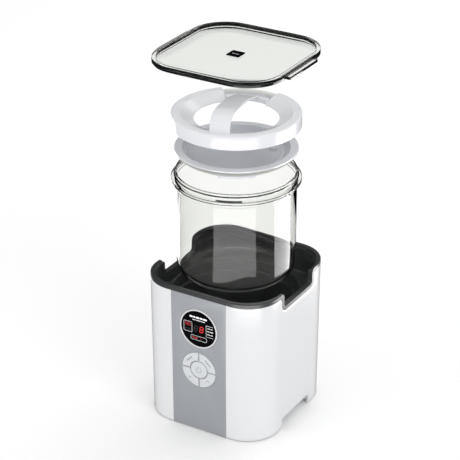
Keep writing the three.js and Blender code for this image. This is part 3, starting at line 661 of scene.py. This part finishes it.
def quarter_loop(quarter, grow=0.0, steps=18):
    """One quarter key between two radii, with straight sides parallel to the split."""
    half, outer, inner = SPLIT / 2 - grow, KEY_OUT + grow, KEY_IN - grow
    a, b = math.degrees(math.asin(half / outer)), math.degrees(math.asin(half / inner))
    t = 90 * quarter
    outside = arc(0, KEYS_Z, outer, t + a, t + 90 - a, steps)
    inside = arc(0, KEYS_Z, inner, t + 90 - b, t + b, steps)
    return np.concatenate([outside, inside])


holes = [circle(DISPLAY_R + GAP, 0, DISPLAY_Z), circle(KEY_MID + GAP, 0, KEYS_Z)]
holes += [quarter_loop(q, GAP) for q in range(4)]
outline = bar_loop(-PANEL_HALF, PANEL_HALF, FOOT, SHELL_TOP)
panel = sheet("panel", [outline, *holes], FACE - 0.15, 1.15, 0.12)
dress(panel, "panel", "base", ["front_panel"])
backing = sheet("key_backing", [circle(KEY_OUT + 1, 0, KEYS_Z)], FACE + 2.8, 0.5)
dress(backing, "silicone", "base", ["keypad_sheet"])
print("panel:", len(panel.data.polygons), "faces")

# %% [markdown]
# The display is a black lens in a thin white bezel. Both are round, but they face forwards, so they are
# turned about the Y axis.


# %% Bezel and lens
def facing_turned(name, profile, z, sharp=40):
    """Sweeps (radius, depth) points round an axis along Y at height z; depth 0 is the shell's face."""
    a = np.linspace(0, 2 * np.pi, 144, endpoint=False)[None, :]
    profile = np.array(profile, float)
    r, d = profile[:, :1], profile[:, 1:]
    rings = np.stack([r * np.cos(a), FACE + d + 0 * a, z + r * np.sin(a)], axis=-1)
    return loft(name, lean(rings), closed=profile[0][0] > 1e-6, sharp=sharp)


bezel_profile = soften([
    (24.0, 2.6), (24.0, -0.35), (24.4, -0.6), (25.2, -0.6), (DISPLAY_R, -0.3), (DISPLAY_R, 2.6),
], 0.25)
bezel = facing_turned("bezel", bezel_profile, DISPLAY_Z)
dress(bezel, "shell", "base", ["display_bezel"])
lens_profile = [(0, -0.3), (12, -0.29), (20, -0.26), (23.4, -0.22), (23.7, 0.1), (23.7, 1.9), (0, 1.9)]
lens = facing_turned("lens", lens_profile, DISPLAY_Z)
dress(lens, "lens", "base", ["display_window"])
print("bezel and lens")

# %% [markdown]
# The display shows two figure eights of seven bars, the left one unlit, with status marks round them.
# Each mark is a very thin sheet just proud of the lens, in white, red or an unlit grey.

# %% Marks on the display
MARK = FACE - 0.36


def seven_bars(x, z, width=4.6, height=8.2, slant=0.12):
    """The seven bars of a figure eight about (x, z)."""
    t, g = 0.95, 0.25
    w, h = width / 2, height / 2
    loops = []
    for v in (-h, 0, h):
        loops.append([
            (-w + g, v), (-w + g + t / 2, v + t / 2), (w - g - t / 2, v + t / 2),
            (w - g, v), (w - g - t / 2, v - t / 2), (-w + g + t / 2, v - t / 2),
        ])
    for u in (-w, w):
        for low, high in ((-h + g, -g), (g, h - g)):
            loops.append([
                (u, low), (u + t / 2, low + t / 2), (u + t / 2, high - t / 2),
                (u, high), (u - t / 2, high - t / 2), (u - t / 2, low + t / 2),
            ])
    return [[(x + u + slant * v, z + v) for u, v in loop] for loop in loops]


def frame_loops(x0, x1, z0, z1, corner=1.2, line=0.35):
    """The outline of a rounded box, as a thin line."""
    outer = bar_loop(x0, x1, z0, z1, corner)
    inner = bar_loop(x0 + line, x1 - line, z0 + line, z1 - line, max(corner - line, 0.1))
    return [outer, inner]


def dashes(x0, x1, z, height, lengths, space=0.7):
    """A row of short bars of the given lengths, shared out between x0 and x1."""
    total = sum(lengths)
    scale = (x1 - x0 - space * (len(lengths) - 1)) / total
    loops, x = [], x0
    for length in lengths:
        loops.append(bar_loop(x, x + length * scale, z - height / 2, z + height / 2, height / 3))
        x += length * scale + space
    return loops


def mark(name, loops, kind, body="base", front=MARK, thickness=0.05):
    """A very thin sheet in one of the printed or lit finishes."""
    return dress(sheet(name, loops, front, thickness), kind, body)


dz = DISPLAY_Z
mark("digit_tens", seven_bars(-3.4, dz + 0.2, 4.2, 7.6), "dim")
mark("digit_units", seven_bars(4.4, dz + 0.2, 4.2, 7.6), "red")
strip = dashes(-12, 12, dz + 15.2, 2.3, (5, 3, 6, 4, 6))
mark("status_strip", strip + dashes(-8, 9, dz + 11.6, 0.9, (4, 6, 4)), "mark")
mark("left_box", frame_loops(-20.2, -8.6, dz - 6.5, dz + 7.5), "mark")
icon = frame_loops(-18.6, -10.4, dz + 1.6, dz + 6.2, 0.8, 0.8)
mark("left_icon", [*icon, bar_loop(-16.4, -12.6, dz + 3, dz + 4.8, 0.4)], "ember")
lines = dashes(-18.4, -10.4, dz - 2.4, 0.8, (3, 4)) + dashes(-18.4, -11.4, dz - 4.6, 0.8, (4, 3))
mark("left_lines", lines, "dim")
mark("low_box", frame_loops(-10.6, 11.6, dz - 15.6, dz - 9.6, 2.0), "mark")
mark("low_icon", dashes(-8.6, -1.0, dz - 12.6, 2.6, (3, 4)), "ember")
mark("low_dot", [circle(0.7, 3.2, dz - 12.6, 24)], "ember")
right = [bar_loop(10.6, 11.0, dz - 7.5, dz + 8)]
right += [bar_loop(11.0, 20.5, dz + z, dz + z + 0.4) for z in (7.6, -7.5)]
right += dashes(12.4, 19.8, dz + 4.6, 0.8, (4, 3)) + dashes(12.4, 20.4, dz + 0.6, 1.0, (3, 5))
mark("right_box", right, "mark")
mark("right_lines", dashes(12.4, 20.0, dz - 3.6, 0.9, (4, 4)), "mark")
print("marks on the display")

# %% [markdown]
# ## The keys
#
# Four quarter keys surround a round one. Each has a body of its own in the frame, so that it can be
# pressed, and the mark printed on a key rides with it.

# %% The keys
KEY_FRONT, KEY_DEPTH, KEY_EDGE = FACE - 0.65, 2.9, 0.45
for quarter, key in enumerate(("timer", "mode", "down", "up")):
    made = sheet("key_" + key, [quarter_loop(quarter)], KEY_FRONT, KEY_DEPTH, KEY_EDGE)
    dress(made, "key", "button_" + key, ["button_" + key])
middle = [(0, -0.85), (6, -0.84), (10, -0.78), (KEY_MID, -0.5), (KEY_MID, 2.2), (0, 2.2)]
power = facing_turned("key_power", soften(middle, 0.5, closed=False), KEYS_Z)
dress(power, "key", "button_power", ["button_power"])
print("five keys")

# %% [markdown]
# The marks on the quarter keys follow the keys' own directions, so each is drawn about (0, 0), turned,
# and moved to the middle of its key.

# %% The marks on the keys
INK = FACE - 0.70


def turned_loops(loops, degrees, x, z):
    """Loops drawn about (0, 0), turned and moved to (x, z)."""
    a = math.radians(degrees)
    turn = np.array([[math.cos(a), math.sin(a)], [-math.sin(a), math.cos(a)]])
    return [np.array(loop) @ turn + (x, z) for loop in loops]


def on_quarter(quarter, loops, degrees):
    """Loops turned and moved to the middle of a quarter key."""
    a = math.radians(90 * quarter + 45)
    radius = (KEY_OUT + KEY_IN) / 2
    return turned_loops(loops, degrees, radius * math.cos(a), KEYS_Z + radius * math.sin(a))


rows = dashes(-5, 5, 0, 1.7, (3, 4, 3), 0.6)
mark("timer_mark", on_quarter(0, rows, -45), "ink", "button_timer", INK)
mark("mode_mark", on_quarter(1, rows, 45), "ink", "button_mode", INK)
chevron = [(-2.2, 1.0), (0, -0.9), (2.2, 1.0), (2.2, 0.1), (0, -1.8), (-2.2, 0.1)]
mark("down_mark", on_quarter(2, [chevron], 0), "ink", "button_down", INK)
mark("up_mark", on_quarter(3, [[(u, -v) for u, v in chevron]], 0), "ink", "button_up", INK)
open_ring = np.concatenate([arc(0, KEYS_Z, 3.9, 118, 422, 30), arc(0, KEYS_Z, 3.3, 422, 118, 30)])
power_bar = bar_loop(-0.3, 0.3, KEYS_Z + 1.0, KEYS_Z + 4.6, 0.25)
mark("power_mark", [open_ring, power_bar], "ink", "button_power", FACE - 0.9)
print("five marks")

# %% [markdown]
# ## Feet, and the parts inside
#
# The base plate, the inlet, the lid's seal and everything inside the base are plain parts whose CAD
# meshes are already right, so they keep them and only get a finish. The feet are turned again with a
# rounded edge.

# %% Feet, and finishes for the carried CAD nodes
for number, (x, y) in enumerate(((52, 56), (-52, 56), (-52, -56), (52, -56)), 1):
    profile = soften([(0, 0), (7.0, 0), (8.0, 3.7), (0, 3.7)], 0.5, closed=False)
    obj = turned(f"rubber_foot_{number}", profile, 64, (x, y))
    dress(obj, "rubber", "base", [f"foot_{number}"])

carried = {
    "key": ["base_plate"],
    "dark": ["power_inlet", "digit_module", "heater_element", "transformer", "capacitor", "relay"],
    "board": ["control_board", "power_board"],
    "aluminium": ["heater_plate"],
    "steel": ["temperature_sensor", *[f"base_screw_{i}" for i in range(1, 5)]],
    "silicone": ["thermal_fuse", "lid_seal"],
    "felt": ["insulation_sleeve"],
}
for kind, names in carried.items():
    for name in names:
        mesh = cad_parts[name].data
        mesh.materials.clear()
        mesh.materials.append(look[kind])
print(sum(map(len, carried.values())), "CAD nodes keep their own mesh")

# %% [markdown]
# ## The glass jar
#
# The jar is turned in one closed profile, up the outside and down the inside. Its screw thread is a
# helix: the outer radius grows by a smooth ridge wherever z is near $z_0 + p\,a / 2\pi$.

# %% The jar
JAR_LOW, JAR_R, JAR_WALL = 183.5, 71.6, 3.0
JAR_TOP = JAR_LOW + 132.6
NECK_IN, NECK_OUT = 70.2, 72.3
FLANGE_R, FLANGE_TOP = 77.2, JAR_TOP - 8.2
FLANGE_LOW = FLANGE_TOP - 4
FILLET, ROUNDING = 15, 0.9


def thread(r, z, a):
    """A ridge 1.6 mm high and 2 mm wide that climbs 3 mm in a turn and fades out at both ends."""
    centre = JAR_TOP - 6.2 + 3.0 * a / (2 * np.pi)
    near = np.clip(1 - np.abs(z - centre) / 1.1, 0, 1)
    fade = np.clip(np.minimum(a, 2 * np.pi - a) / 0.25, 0, 1)
    ridge = 1.6 * (3 * near**2 - 2 * near**3) * fade
    return r + ridge * (r > NECK_OUT - 0.2) * (z > FLANGE_TOP + 0.6)


outside = [
    (0, JAR_LOW + 0.8),
    (51, JAR_LOW + 0.8),
    (53, JAR_LOW),
    *arc(JAR_R - FILLET, JAR_LOW + FILLET, FILLET, -84, 0, 18),
    (JAR_R, JAR_LOW + 60),
    (JAR_R, JAR_TOP - 22),
    *soften([
        (JAR_R, JAR_TOP - 21), (JAR_R, JAR_TOP - 19), (NECK_OUT, JAR_TOP - 16),
        (NECK_OUT, FLANGE_LOW - 0.8), (FLANGE_R, FLANGE_LOW), (FLANGE_R, FLANGE_TOP),
        (NECK_OUT, FLANGE_TOP + 0.3),
    ], ROUNDING, 5, False),
    *[(NECK_OUT, z) for z in np.linspace(FLANGE_TOP + 0.7, JAR_TOP - 1.0, 26)],
    *arc(NECK_OUT - ROUNDING, JAR_TOP - ROUNDING, ROUNDING, 0, 90, 5),
    *arc(NECK_IN + ROUNDING, JAR_TOP - ROUNDING, ROUNDING, 90, 180, 5),
    (NECK_IN, JAR_TOP - 14),
    (JAR_R - JAR_WALL, JAR_TOP - 19.5),
    (JAR_R - JAR_WALL, JAR_LOW + 60),
    *arc(JAR_R - FILLET, JAR_LOW + FILLET + 1, FILLET - JAR_WALL, 0, -88, 16),
    (0, JAR_LOW + 4.6),
]
jar = turned("glass_jar", outside, 256, bump=thread, sharp=60)
dress(jar, "glass", "jar", ["jar"])
print("jar:", len(jar.data.polygons), "faces")

# %% [markdown]
# Only the outside of the jar has the coat that reflects. The narrow rounded faces of the flange, the
# thread and the rim are painted dark, a painted shade for the darkness that refraction gives them.

# %% Where the jar reflects and where its edges are painted dark
COAT = 0.28


def reach_and_rise(face):
    """A face's distance from the Z axis and its height, in millimetres."""
    return face.center.xy.length / MM, face.center.z / MM


gloss, painted_edge_shade = [jar.data.attributes.new(name, "FLOAT", "FACE").data for name in ("gloss", "painted_edge_shade")]
for face in jar.data.polygons:
    reach, rise = reach_and_rise(face)
    on_outside = reach > NECK_IN + 0.1 or face.center.xy.dot(face.normal.xy) > 0
    slanted = 0.25 < abs(face.normal.z) < 0.96
    gloss[face.index].value = COAT * on_outside
    # painted shade: slanted faces of the flange, the thread and the rim take the dark colour
    painted_edge_shade[face.index].value = float(reach > NECK_OUT - 0.95 and rise > FLANGE_LOW - 2 and slanted)
print("the jar's dark faces:", sum(item.value > 0 for item in painted_edge_shade))

# %% [markdown]
# ## The inner lid
#
# A shallow dish with a flat rim. A raised line runs round its floor, and a tongue on one side gives the
# thumb something to pull. The rim and the line are polished, and their faces get a second finish that
# is also painted lighter than the dish, a painted highlight on them.

# %% The inner lid and its tongue
LID_TOP, LID_R, LID_RIM, PLUG_R = 345.1, 72.9, 63.6, 64.6
FLOOR_TOP = LID_TOP - 7
FLOOR_UNDER, PLUG_LOW, RIM_UNDER = FLOOR_TOP - 1.8, LID_TOP - 10.3, LID_TOP - 2.2
LINE = 54.75  # radius of the raised line
lid_profile = [
    (0, FLOOR_UNDER),
    *soften([
        (PLUG_R - 2.6, FLOOR_UNDER), (PLUG_R - 1.8, FLOOR_UNDER), (PLUG_R - 1.8, PLUG_LOW),
        (PLUG_R, PLUG_LOW), (PLUG_R, RIM_UNDER), (LID_R, RIM_UNDER), (LID_R, LID_TOP),
        (LID_RIM, LID_TOP), (LINE + 4.2, FLOOR_TOP + 0.6), (LINE + 2.4, FLOOR_TOP), (LINE + 0.8, FLOOR_TOP),
    ], 0.8, 5, False),
    *arc(LINE, FLOOR_TOP, 0.75, 10, 170, 6),
    (LINE - 1, FLOOR_TOP),
    (0, FLOOR_TOP),
]
lid = dress(turned("lid_dish", lid_profile, 224), "lid", "inner_lid", ["inner_lid"])
# the rim and the raised line take the polished finish, painted lighter as a highlight
lid.data.materials.append(look["rim"])
for face in lid.data.polygons:
    reach, rise = reach_and_rise(face)
    on_rim = rise > RIM_UNDER - 0.1 and reach > LID_RIM - 0.2
    on_bead = abs(reach - LINE) < 0.8 and rise > FLOOR_TOP + 0.05
    face.material_index = int(on_rim or on_bead)
tongue_profile = soften(box_profile(63.2, 66.0, LID_TOP - 11.9, LID_TOP - 8.3), 0.6)
tongue = turned_part("lid_tongue", tongue_profile, -78, -40, 40)
dress(tongue, "lid", "inner_lid")
print("inner lid:", len(lid.data.polygons), "faces")

# %% [markdown]
# A plug in the lid's floor lets the steam out. It is turned about its own axis, which stands off the
# lid's centre, inside a low collar.

# %% The vent plug
VENT_REACH, VENT_ANGLE = 43.5, math.radians(38)
VENT = (VENT_REACH * math.cos(VENT_ANGLE), VENT_REACH * math.sin(VENT_ANGLE))
collar_profile = soften(box_profile(4.3, 5.2, FLOOR_TOP - 0.3, FLOOR_TOP + 0.6), 0.3)
dress(turned("vent_collar", collar_profile, 64, VENT), "lid", "inner_lid")
cap_edge = [(1.9, FLOOR_TOP + 0.4), (4.0, FLOOR_TOP + 0.4), (3.5, FLOOR_TOP + 3.0), (0, FLOOR_TOP + 2.7)]
plug_profile = [(0, FLOOR_UNDER), (1.9, FLOOR_UNDER), cap_edge[0], *soften(cap_edge, 0.6, 4, False)]
plug = turned("vent_cap", plug_profile, 64, VENT)
dress(plug, "lid", "vent_plug", ["vent_plug"])
print("vent collar and plug")

# %% [markdown]
# ## The ring lid and its strap
#
# The ring is a funnel inside a short skirt, turned from its profile. Behind the strap it is cut back to
# its outer wall, so the ring is swept over the rest of the circle and a low wall closes the gap.

# %% The ring lid
RING_TOP, RING_R, SKIRT, HOLE, FUNNEL = 389.1, 76.2, 1.7, 49.8, 65.2
RING_LOW, RING_UNDER, LIP = RING_TOP - 16.3, RING_TOP - 1.9, RING_TOP - 7.4
NOTCH, NOTCH_HALF = 106, 28  # direction and half angle of the cut-out, in degrees
ring_profile = soften([
    (RING_R - SKIRT, RING_LOW),
    (RING_R, RING_LOW),
    (RING_R, RING_TOP - 0.9),
    (RING_R - 1.1, RING_TOP),
    (FUNNEL, RING_TOP),
    (FUNNEL - 1, RING_TOP - 0.7),
    (FUNNEL - 6, RING_TOP - 3.0),
    (HOLE + 2, LIP + 0.9),
    (HOLE, LIP),
    (HOLE, LIP - 1.2),
    (HOLE + 1.4, LIP - 1.6),
    (FUNNEL - 8, RING_TOP - 5.5),
    (FUNNEL - 2, RING_TOP - 2.4),
    (FUNNEL + 0.4, RING_UNDER),
    (RING_R - SKIRT, RING_UNDER),
], 1.2, 4)
ring_lid = turned_part("ring_funnel", ring_profile, NOTCH + NOTCH_HALF, NOTCH + 360 - NOTCH_HALF, 240)
rounded_ends = ring_lid.modifiers.new("ends", "BEVEL")
rounded_ends.width = 0.5 * MM
rounded_ends.segments = 3
rounded_ends.limit_method = "ANGLE"
rounded_ends.angle_limit = math.radians(70)
dress(ring_lid, "ring", "ring_lid", ["ring_lid"])
wall_profile = soften(box_profile(74.1, RING_R, RING_LOW, RING_TOP - 3), 0.5)
ring_wall = turned_part("ring_wall", wall_profile, NOTCH - NOTCH_HALF, NOTCH + NOTCH_HALF, 40)
dress(ring_wall, "ring", "ring_lid")

gasket_top = RING_UNDER - GAP
gasket = turned("gasket", soften(box_profile(69.4, 73.6, gasket_top - 3.2, gasket_top), 0.5), 160)
dress(gasket, "silicone", "ring_gasket", ["ring_gasket"])
print("ring lid:", len(ring_lid.data.polygons), "faces")

# %% [markdown]
# The strap is a flat band bent in one plane. Its middle line passes smoothly through a few points, as a
# centripetal Catmull-Rom spline does, and a rounded section follows that line.


# %% The spline
def spline(points, steps=10):
    """Centripetal Catmull-Rom through the points: knots t grow by sqrt(distance)."""
    p = np.array(points, float)
    p = np.vstack([2 * p[0] - p[1], p, 2 * p[-1] - p[-2]])
    out = []
    for i in range(1, len(p) - 2):
        q = p[i - 1 : i + 3]
        t = np.concatenate([[0], np.cumsum(np.sqrt(np.linalg.norm(np.diff(q, axis=0), axis=1)))])
        for s in np.linspace(t[1], t[2], steps, endpoint=False):
            def mix(a, b, ta, tb):
                """The point at knot s on the line from a at knot ta to b at knot tb."""
                return a * (tb - s) / (tb - ta) + b * (s - ta) / (tb - ta)

            a1, a2, a3 = (mix(q[k], q[k + 1], t[k], t[k + 1]) for k in range(3))
            b1, b2 = mix(a1, a2, t[0], t[2]), mix(a2, a3, t[1], t[3])
            out.append(mix(b1, b2, t[1], t[2]))
    out.append(p[-2])
    return np.array(out)


# %% [markdown]
# The strap springs from the funnel's far side, crowns there and comes down to a cross-bar that bridges
# the cut-out. Its heights are shares of the crown, and its places shares of the two feet.

# %% The strap and its cross-bar
CROWN, BAR_OUT, STRAP_FOOT = 18.8, 58.0, FUNNEL + 1.2
line = spline([
    (BAR_OUT - 3, -4.6),
    (BAR_OUT - 9, 0.02 * CROWN),
    (0.69 * BAR_OUT, 0.14 * CROWN),
    (0.35 * BAR_OUT, 0.46 * CROWN),
    (0, 0.71 * CROWN),
    (-0.38 * STRAP_FOOT, 0.92 * CROWN),
    (-0.68 * STRAP_FOOT, CROWN),
    (-0.85 * STRAP_FOOT, 0.93 * CROWN),
    (-0.95 * STRAP_FOOT, 0.66 * CROWN),
    (-0.99 * STRAP_FOOT, 0.3 * CROWN),
    (-STRAP_FOOT, -0.02 * CROWN),
    (-STRAP_FOOT, -2.9),
])
STRAP_HALF, STRAP_THICK, STRAP_ANGLE, BAR_HALF = 12, 2.4, 104, 27.5
section = soften(box_profile(-STRAP_HALF, STRAP_HALF, -STRAP_THICK / 2, STRAP_THICK / 2), 0.8, 4)
along = np.gradient(line, axis=0)
along /= np.linalg.norm(along, axis=1)[:, None]
angle = math.radians(STRAP_ANGLE)
ahead = np.array([math.cos(angle), math.sin(angle), 0])
sideways = np.array([-math.sin(angle), math.cos(angle), 0])
sections = []
for (s, h), (ds, dh) in zip(line, along):
    normal = ahead * -dh + np.array([0, 0, ds])
    centre = ahead * s + np.array([0, 0, RING_TOP + h])
    sections.append([centre + sideways * u + normal * v for u, v in section])
strap = loft("strap", sections, closed=False, caps=True)
dress(strap, "ring", "ring_lid", ["ring_handle"])
bar_profile = soften(box_profile(51, BAR_OUT, RING_TOP - 8, RING_TOP - 2.2), 1.0, 4)
cross_bar = turned_part("cross_bar", bar_profile, NOTCH - BAR_HALF, NOTCH + BAR_HALF, 48)
dress(cross_bar, "ring", "ring_lid")
print("strap and cross-bar")

# %% [markdown]
# ## The dust cover
#
# A clear pane with a taller frame round it. The profile is softened once, as a list of (inset, height)
# pairs, and every pair becomes one rounded-square ring. Two tabs stick out over the hand recesses. The
# upright faces are painted dark: painted shade for the darkness that refraction gives thick clear edges.

# %% The dust cover
COVER_LOW, COVER_H = 456.4, 6.8
COVER = (82.2, 83.0, 44.9)
COVER_TOP, LIP_W = COVER_LOW + COVER_H, 5
PANE_LOW, PANE_TOP = COVER_LOW + 1, COVER_LOW + 3.3
section = soften([
    (30, PANE_TOP), (LIP_W, PANE_TOP), (LIP_W, COVER_TOP), (0, COVER_TOP), (0, COVER_LOW),
    (LIP_W, COVER_LOW), (LIP_W, PANE_LOW), (30, PANE_LOW),
], 0.7, 4, False)
side_y = np.linspace(0, END_Y, sum(STAGES))
rings = []
for inset, z in section:
    rings.append(ring(*inset_of(COVER, inset), {"y": side_y, "z": 0 * side_y + z, "flat": z}))
top, under = rings[0] * [0, 0, 0] + [0, 0, PANE_TOP], rings[0] * [0, 0, 0] + [0, 0, PANE_LOW]
cover = loft("cover", [top, *rings, under], closed=False, sharp=50)
dress(cover, "clear", "dust_cover", ["dust_cover"])


def paint_sides_dark(obj):
    """Gives the upright faces the dark edge finish, a painted shade for their refraction."""
    obj.data.materials.append(look["edge"])
    for face in obj.data.polygons:
        face.material_index = int(abs(face.normal.z) < 0.8)


# the upright faces get painted shade
paint_sides_dark(cover)
TAB_IN, TAB_OUT, TAB_HALF, TAB_H = 82.3, 87.8, 32.5, 3.6
for side, name in ((1, "tab_right"), (-1, "tab_left")):
    loop = bar_loop(*sorted((side * TAB_IN, side * TAB_OUT)), -TAB_HALF, TAB_HALF, 1.2)
    tab = sheet(name, [loop], COVER_LOW + TAB_H, TAB_H, 0.4, stand=False)
    paint_sides_dark(dress(tab, "clear", "dust_cover"))
badge = sheet("badge", [bar_loop(-8.6, 8.6, -10.6, 6.6, 2)], PANE_TOP + 0.8, 0.5, 0.1, stand=False)
dress(badge, "lens", "dust_cover", ["cover_badge"])
badge_mark = [bar_loop(-4.5, 4.5, -2.9, -2.1, 0.3)]
dress(sheet("badge_line", badge_mark, PANE_TOP + 0.87, 0.06, stand=False), "key", "dust_cover")
print("dust cover, tabs and badge")

# %% [markdown]
# ## Stage, light and camera
#
# A pale floor that runs out of view under a soft white sky. Both are left out of reflections, because
# they would lay a grey veil over the clear jar.

# %% Floor and sky
REACH = 9000
corners = [(-REACH, -REACH, 0), (REACH, -REACH, 0), (REACH, REACH, 0), (-REACH, REACH, 0)]
floor = piece("floor", corners, [[0, 1, 2, 3]])
floor_look = finish("floor_white", (0.96, 0.96, 0.96), 0.9, 30, 0.0, 0.02, 0.003, Specular_IOR_Level=0)
floor.data.materials.append(floor_look)

world = bpy.data.worlds.new("studio")
bpy.context.scene.world = world
world.use_nodes = True
sky = world.node_tree.nodes["Background"]
sky.inputs["Color"].default_value = (1, 1, 1, 1)
sky.inputs["Strength"].default_value = 0.89
floor.visible_glossy = False
world.cycles_visibility.glossy = False
print("floor and sky")

# %% [markdown]
# Three soft lamps shape the white plastic. Three low cards, which only reflections can see, stand in for
# the floor and the sky there: the jar stays dark over the charcoal well and carries a few upright bands
# of light.


# %% Soft lights and reflected cards
def softbox(name, place, target, width, height, power):
    """A rectangular lamp, in metres and watts, that faces its target."""
    data = bpy.data.lights.new(name, "AREA")
    data.shape = "RECTANGLE"
    data.size, data.size_y, data.energy = width, height, power
    obj = bpy.data.objects.new(name, data)
    bpy.context.scene.collection.objects.link(obj)
    obj.location = place
    obj.rotation_euler = (Vector(target) - Vector(place)).to_track_quat("-Z", "Y").to_euler()
    obj.visible_camera = False
    return obj


def card(name, start, stop, near, far, strength):
    """A low bright card that only shows in reflections, between two compass angles and two distances."""
    steps, height = 24, 1.5
    a = np.radians(np.linspace(start, stop, steps + 1))
    points = [(r * math.sin(t), -r * math.cos(t), height) for r in (near, far) for t in a]
    faces = [[i, i + 1, i + steps + 2, i + steps + 1] for i in range(steps)]
    obj = piece(name, points, faces)
    glow = bpy.data.materials.new(name)
    glow.use_nodes = True
    shader = glow.node_tree.nodes["Principled BSDF"]
    shader.inputs["Base Color"].default_value = (0, 0, 0, 1)
    shader.inputs["Emission Color"].default_value = (1, 1, 1, 1)
    shader.inputs["Emission Strength"].default_value = strength
    obj.data.materials.append(glow)
    for kind in ("camera", "diffuse", "transmission", "shadow"):
        setattr(obj, "visible_" + kind, False)
    return obj


lights = [
    softbox("key_light", (2.2, -1.0, 2.0), (0, 0, 0.2), 1.4, 1.4, 14),
    softbox("fill_light", (-1.6, -2.0, 1.4), (0, 0, 0.2), 1.4, 1.4, 7),
    softbox("back_light", (0.4, 2.4, 2.0), (0, 0, 0.3), 1.6, 0.8, 12),
]
CARD_NEAR, CARD_FAR = 400, 1100
cards = [
    card("front_card", -11, 66, CARD_NEAR, CARD_FAR, 9.0),
    card("right_card", 104, 149, CARD_NEAR, CARD_FAR, 16.0),
    card("left_card", -150, -100, CARD_NEAR, CARD_FAR, 4.0),
]
print(len(lights), "lights and", len(cards), "cards")

# %% [markdown]
# The camera looks down at the front right corner with a long lens, which keeps the upright edges nearly
# parallel.

# %% Camera
camera_data = bpy.data.cameras.new("camera")
camera = bpy.data.objects.new("camera", camera_data)
bpy.context.scene.collection.objects.link(camera)
bpy.context.scene.camera = camera
camera_data.sensor_width = 36
camera_data.lens = 138.57
camera_data.clip_end = 50
camera.location = (0.95747, -1.62868, 1.18899)
azimuth, height = math.radians(30.677), math.radians(26.794)
backwards = Vector((
    math.sin(azimuth) * math.cos(height),
    -math.cos(azimuth) * math.cos(height),
    math.sin(height),
))
camera.rotation_euler = backwards.to_track_quat("Z", "Y").to_euler()
bpy.context.scene.view_settings.view_transform = "Standard"
bpy.context.scene.view_settings.look = "None"
print("camera with a lens of", round(camera_data.lens, 1), "mm")

# %% [markdown]
# At the end the view layer is brought up to date.

# %% The end
bpy.context.view_layer.update()
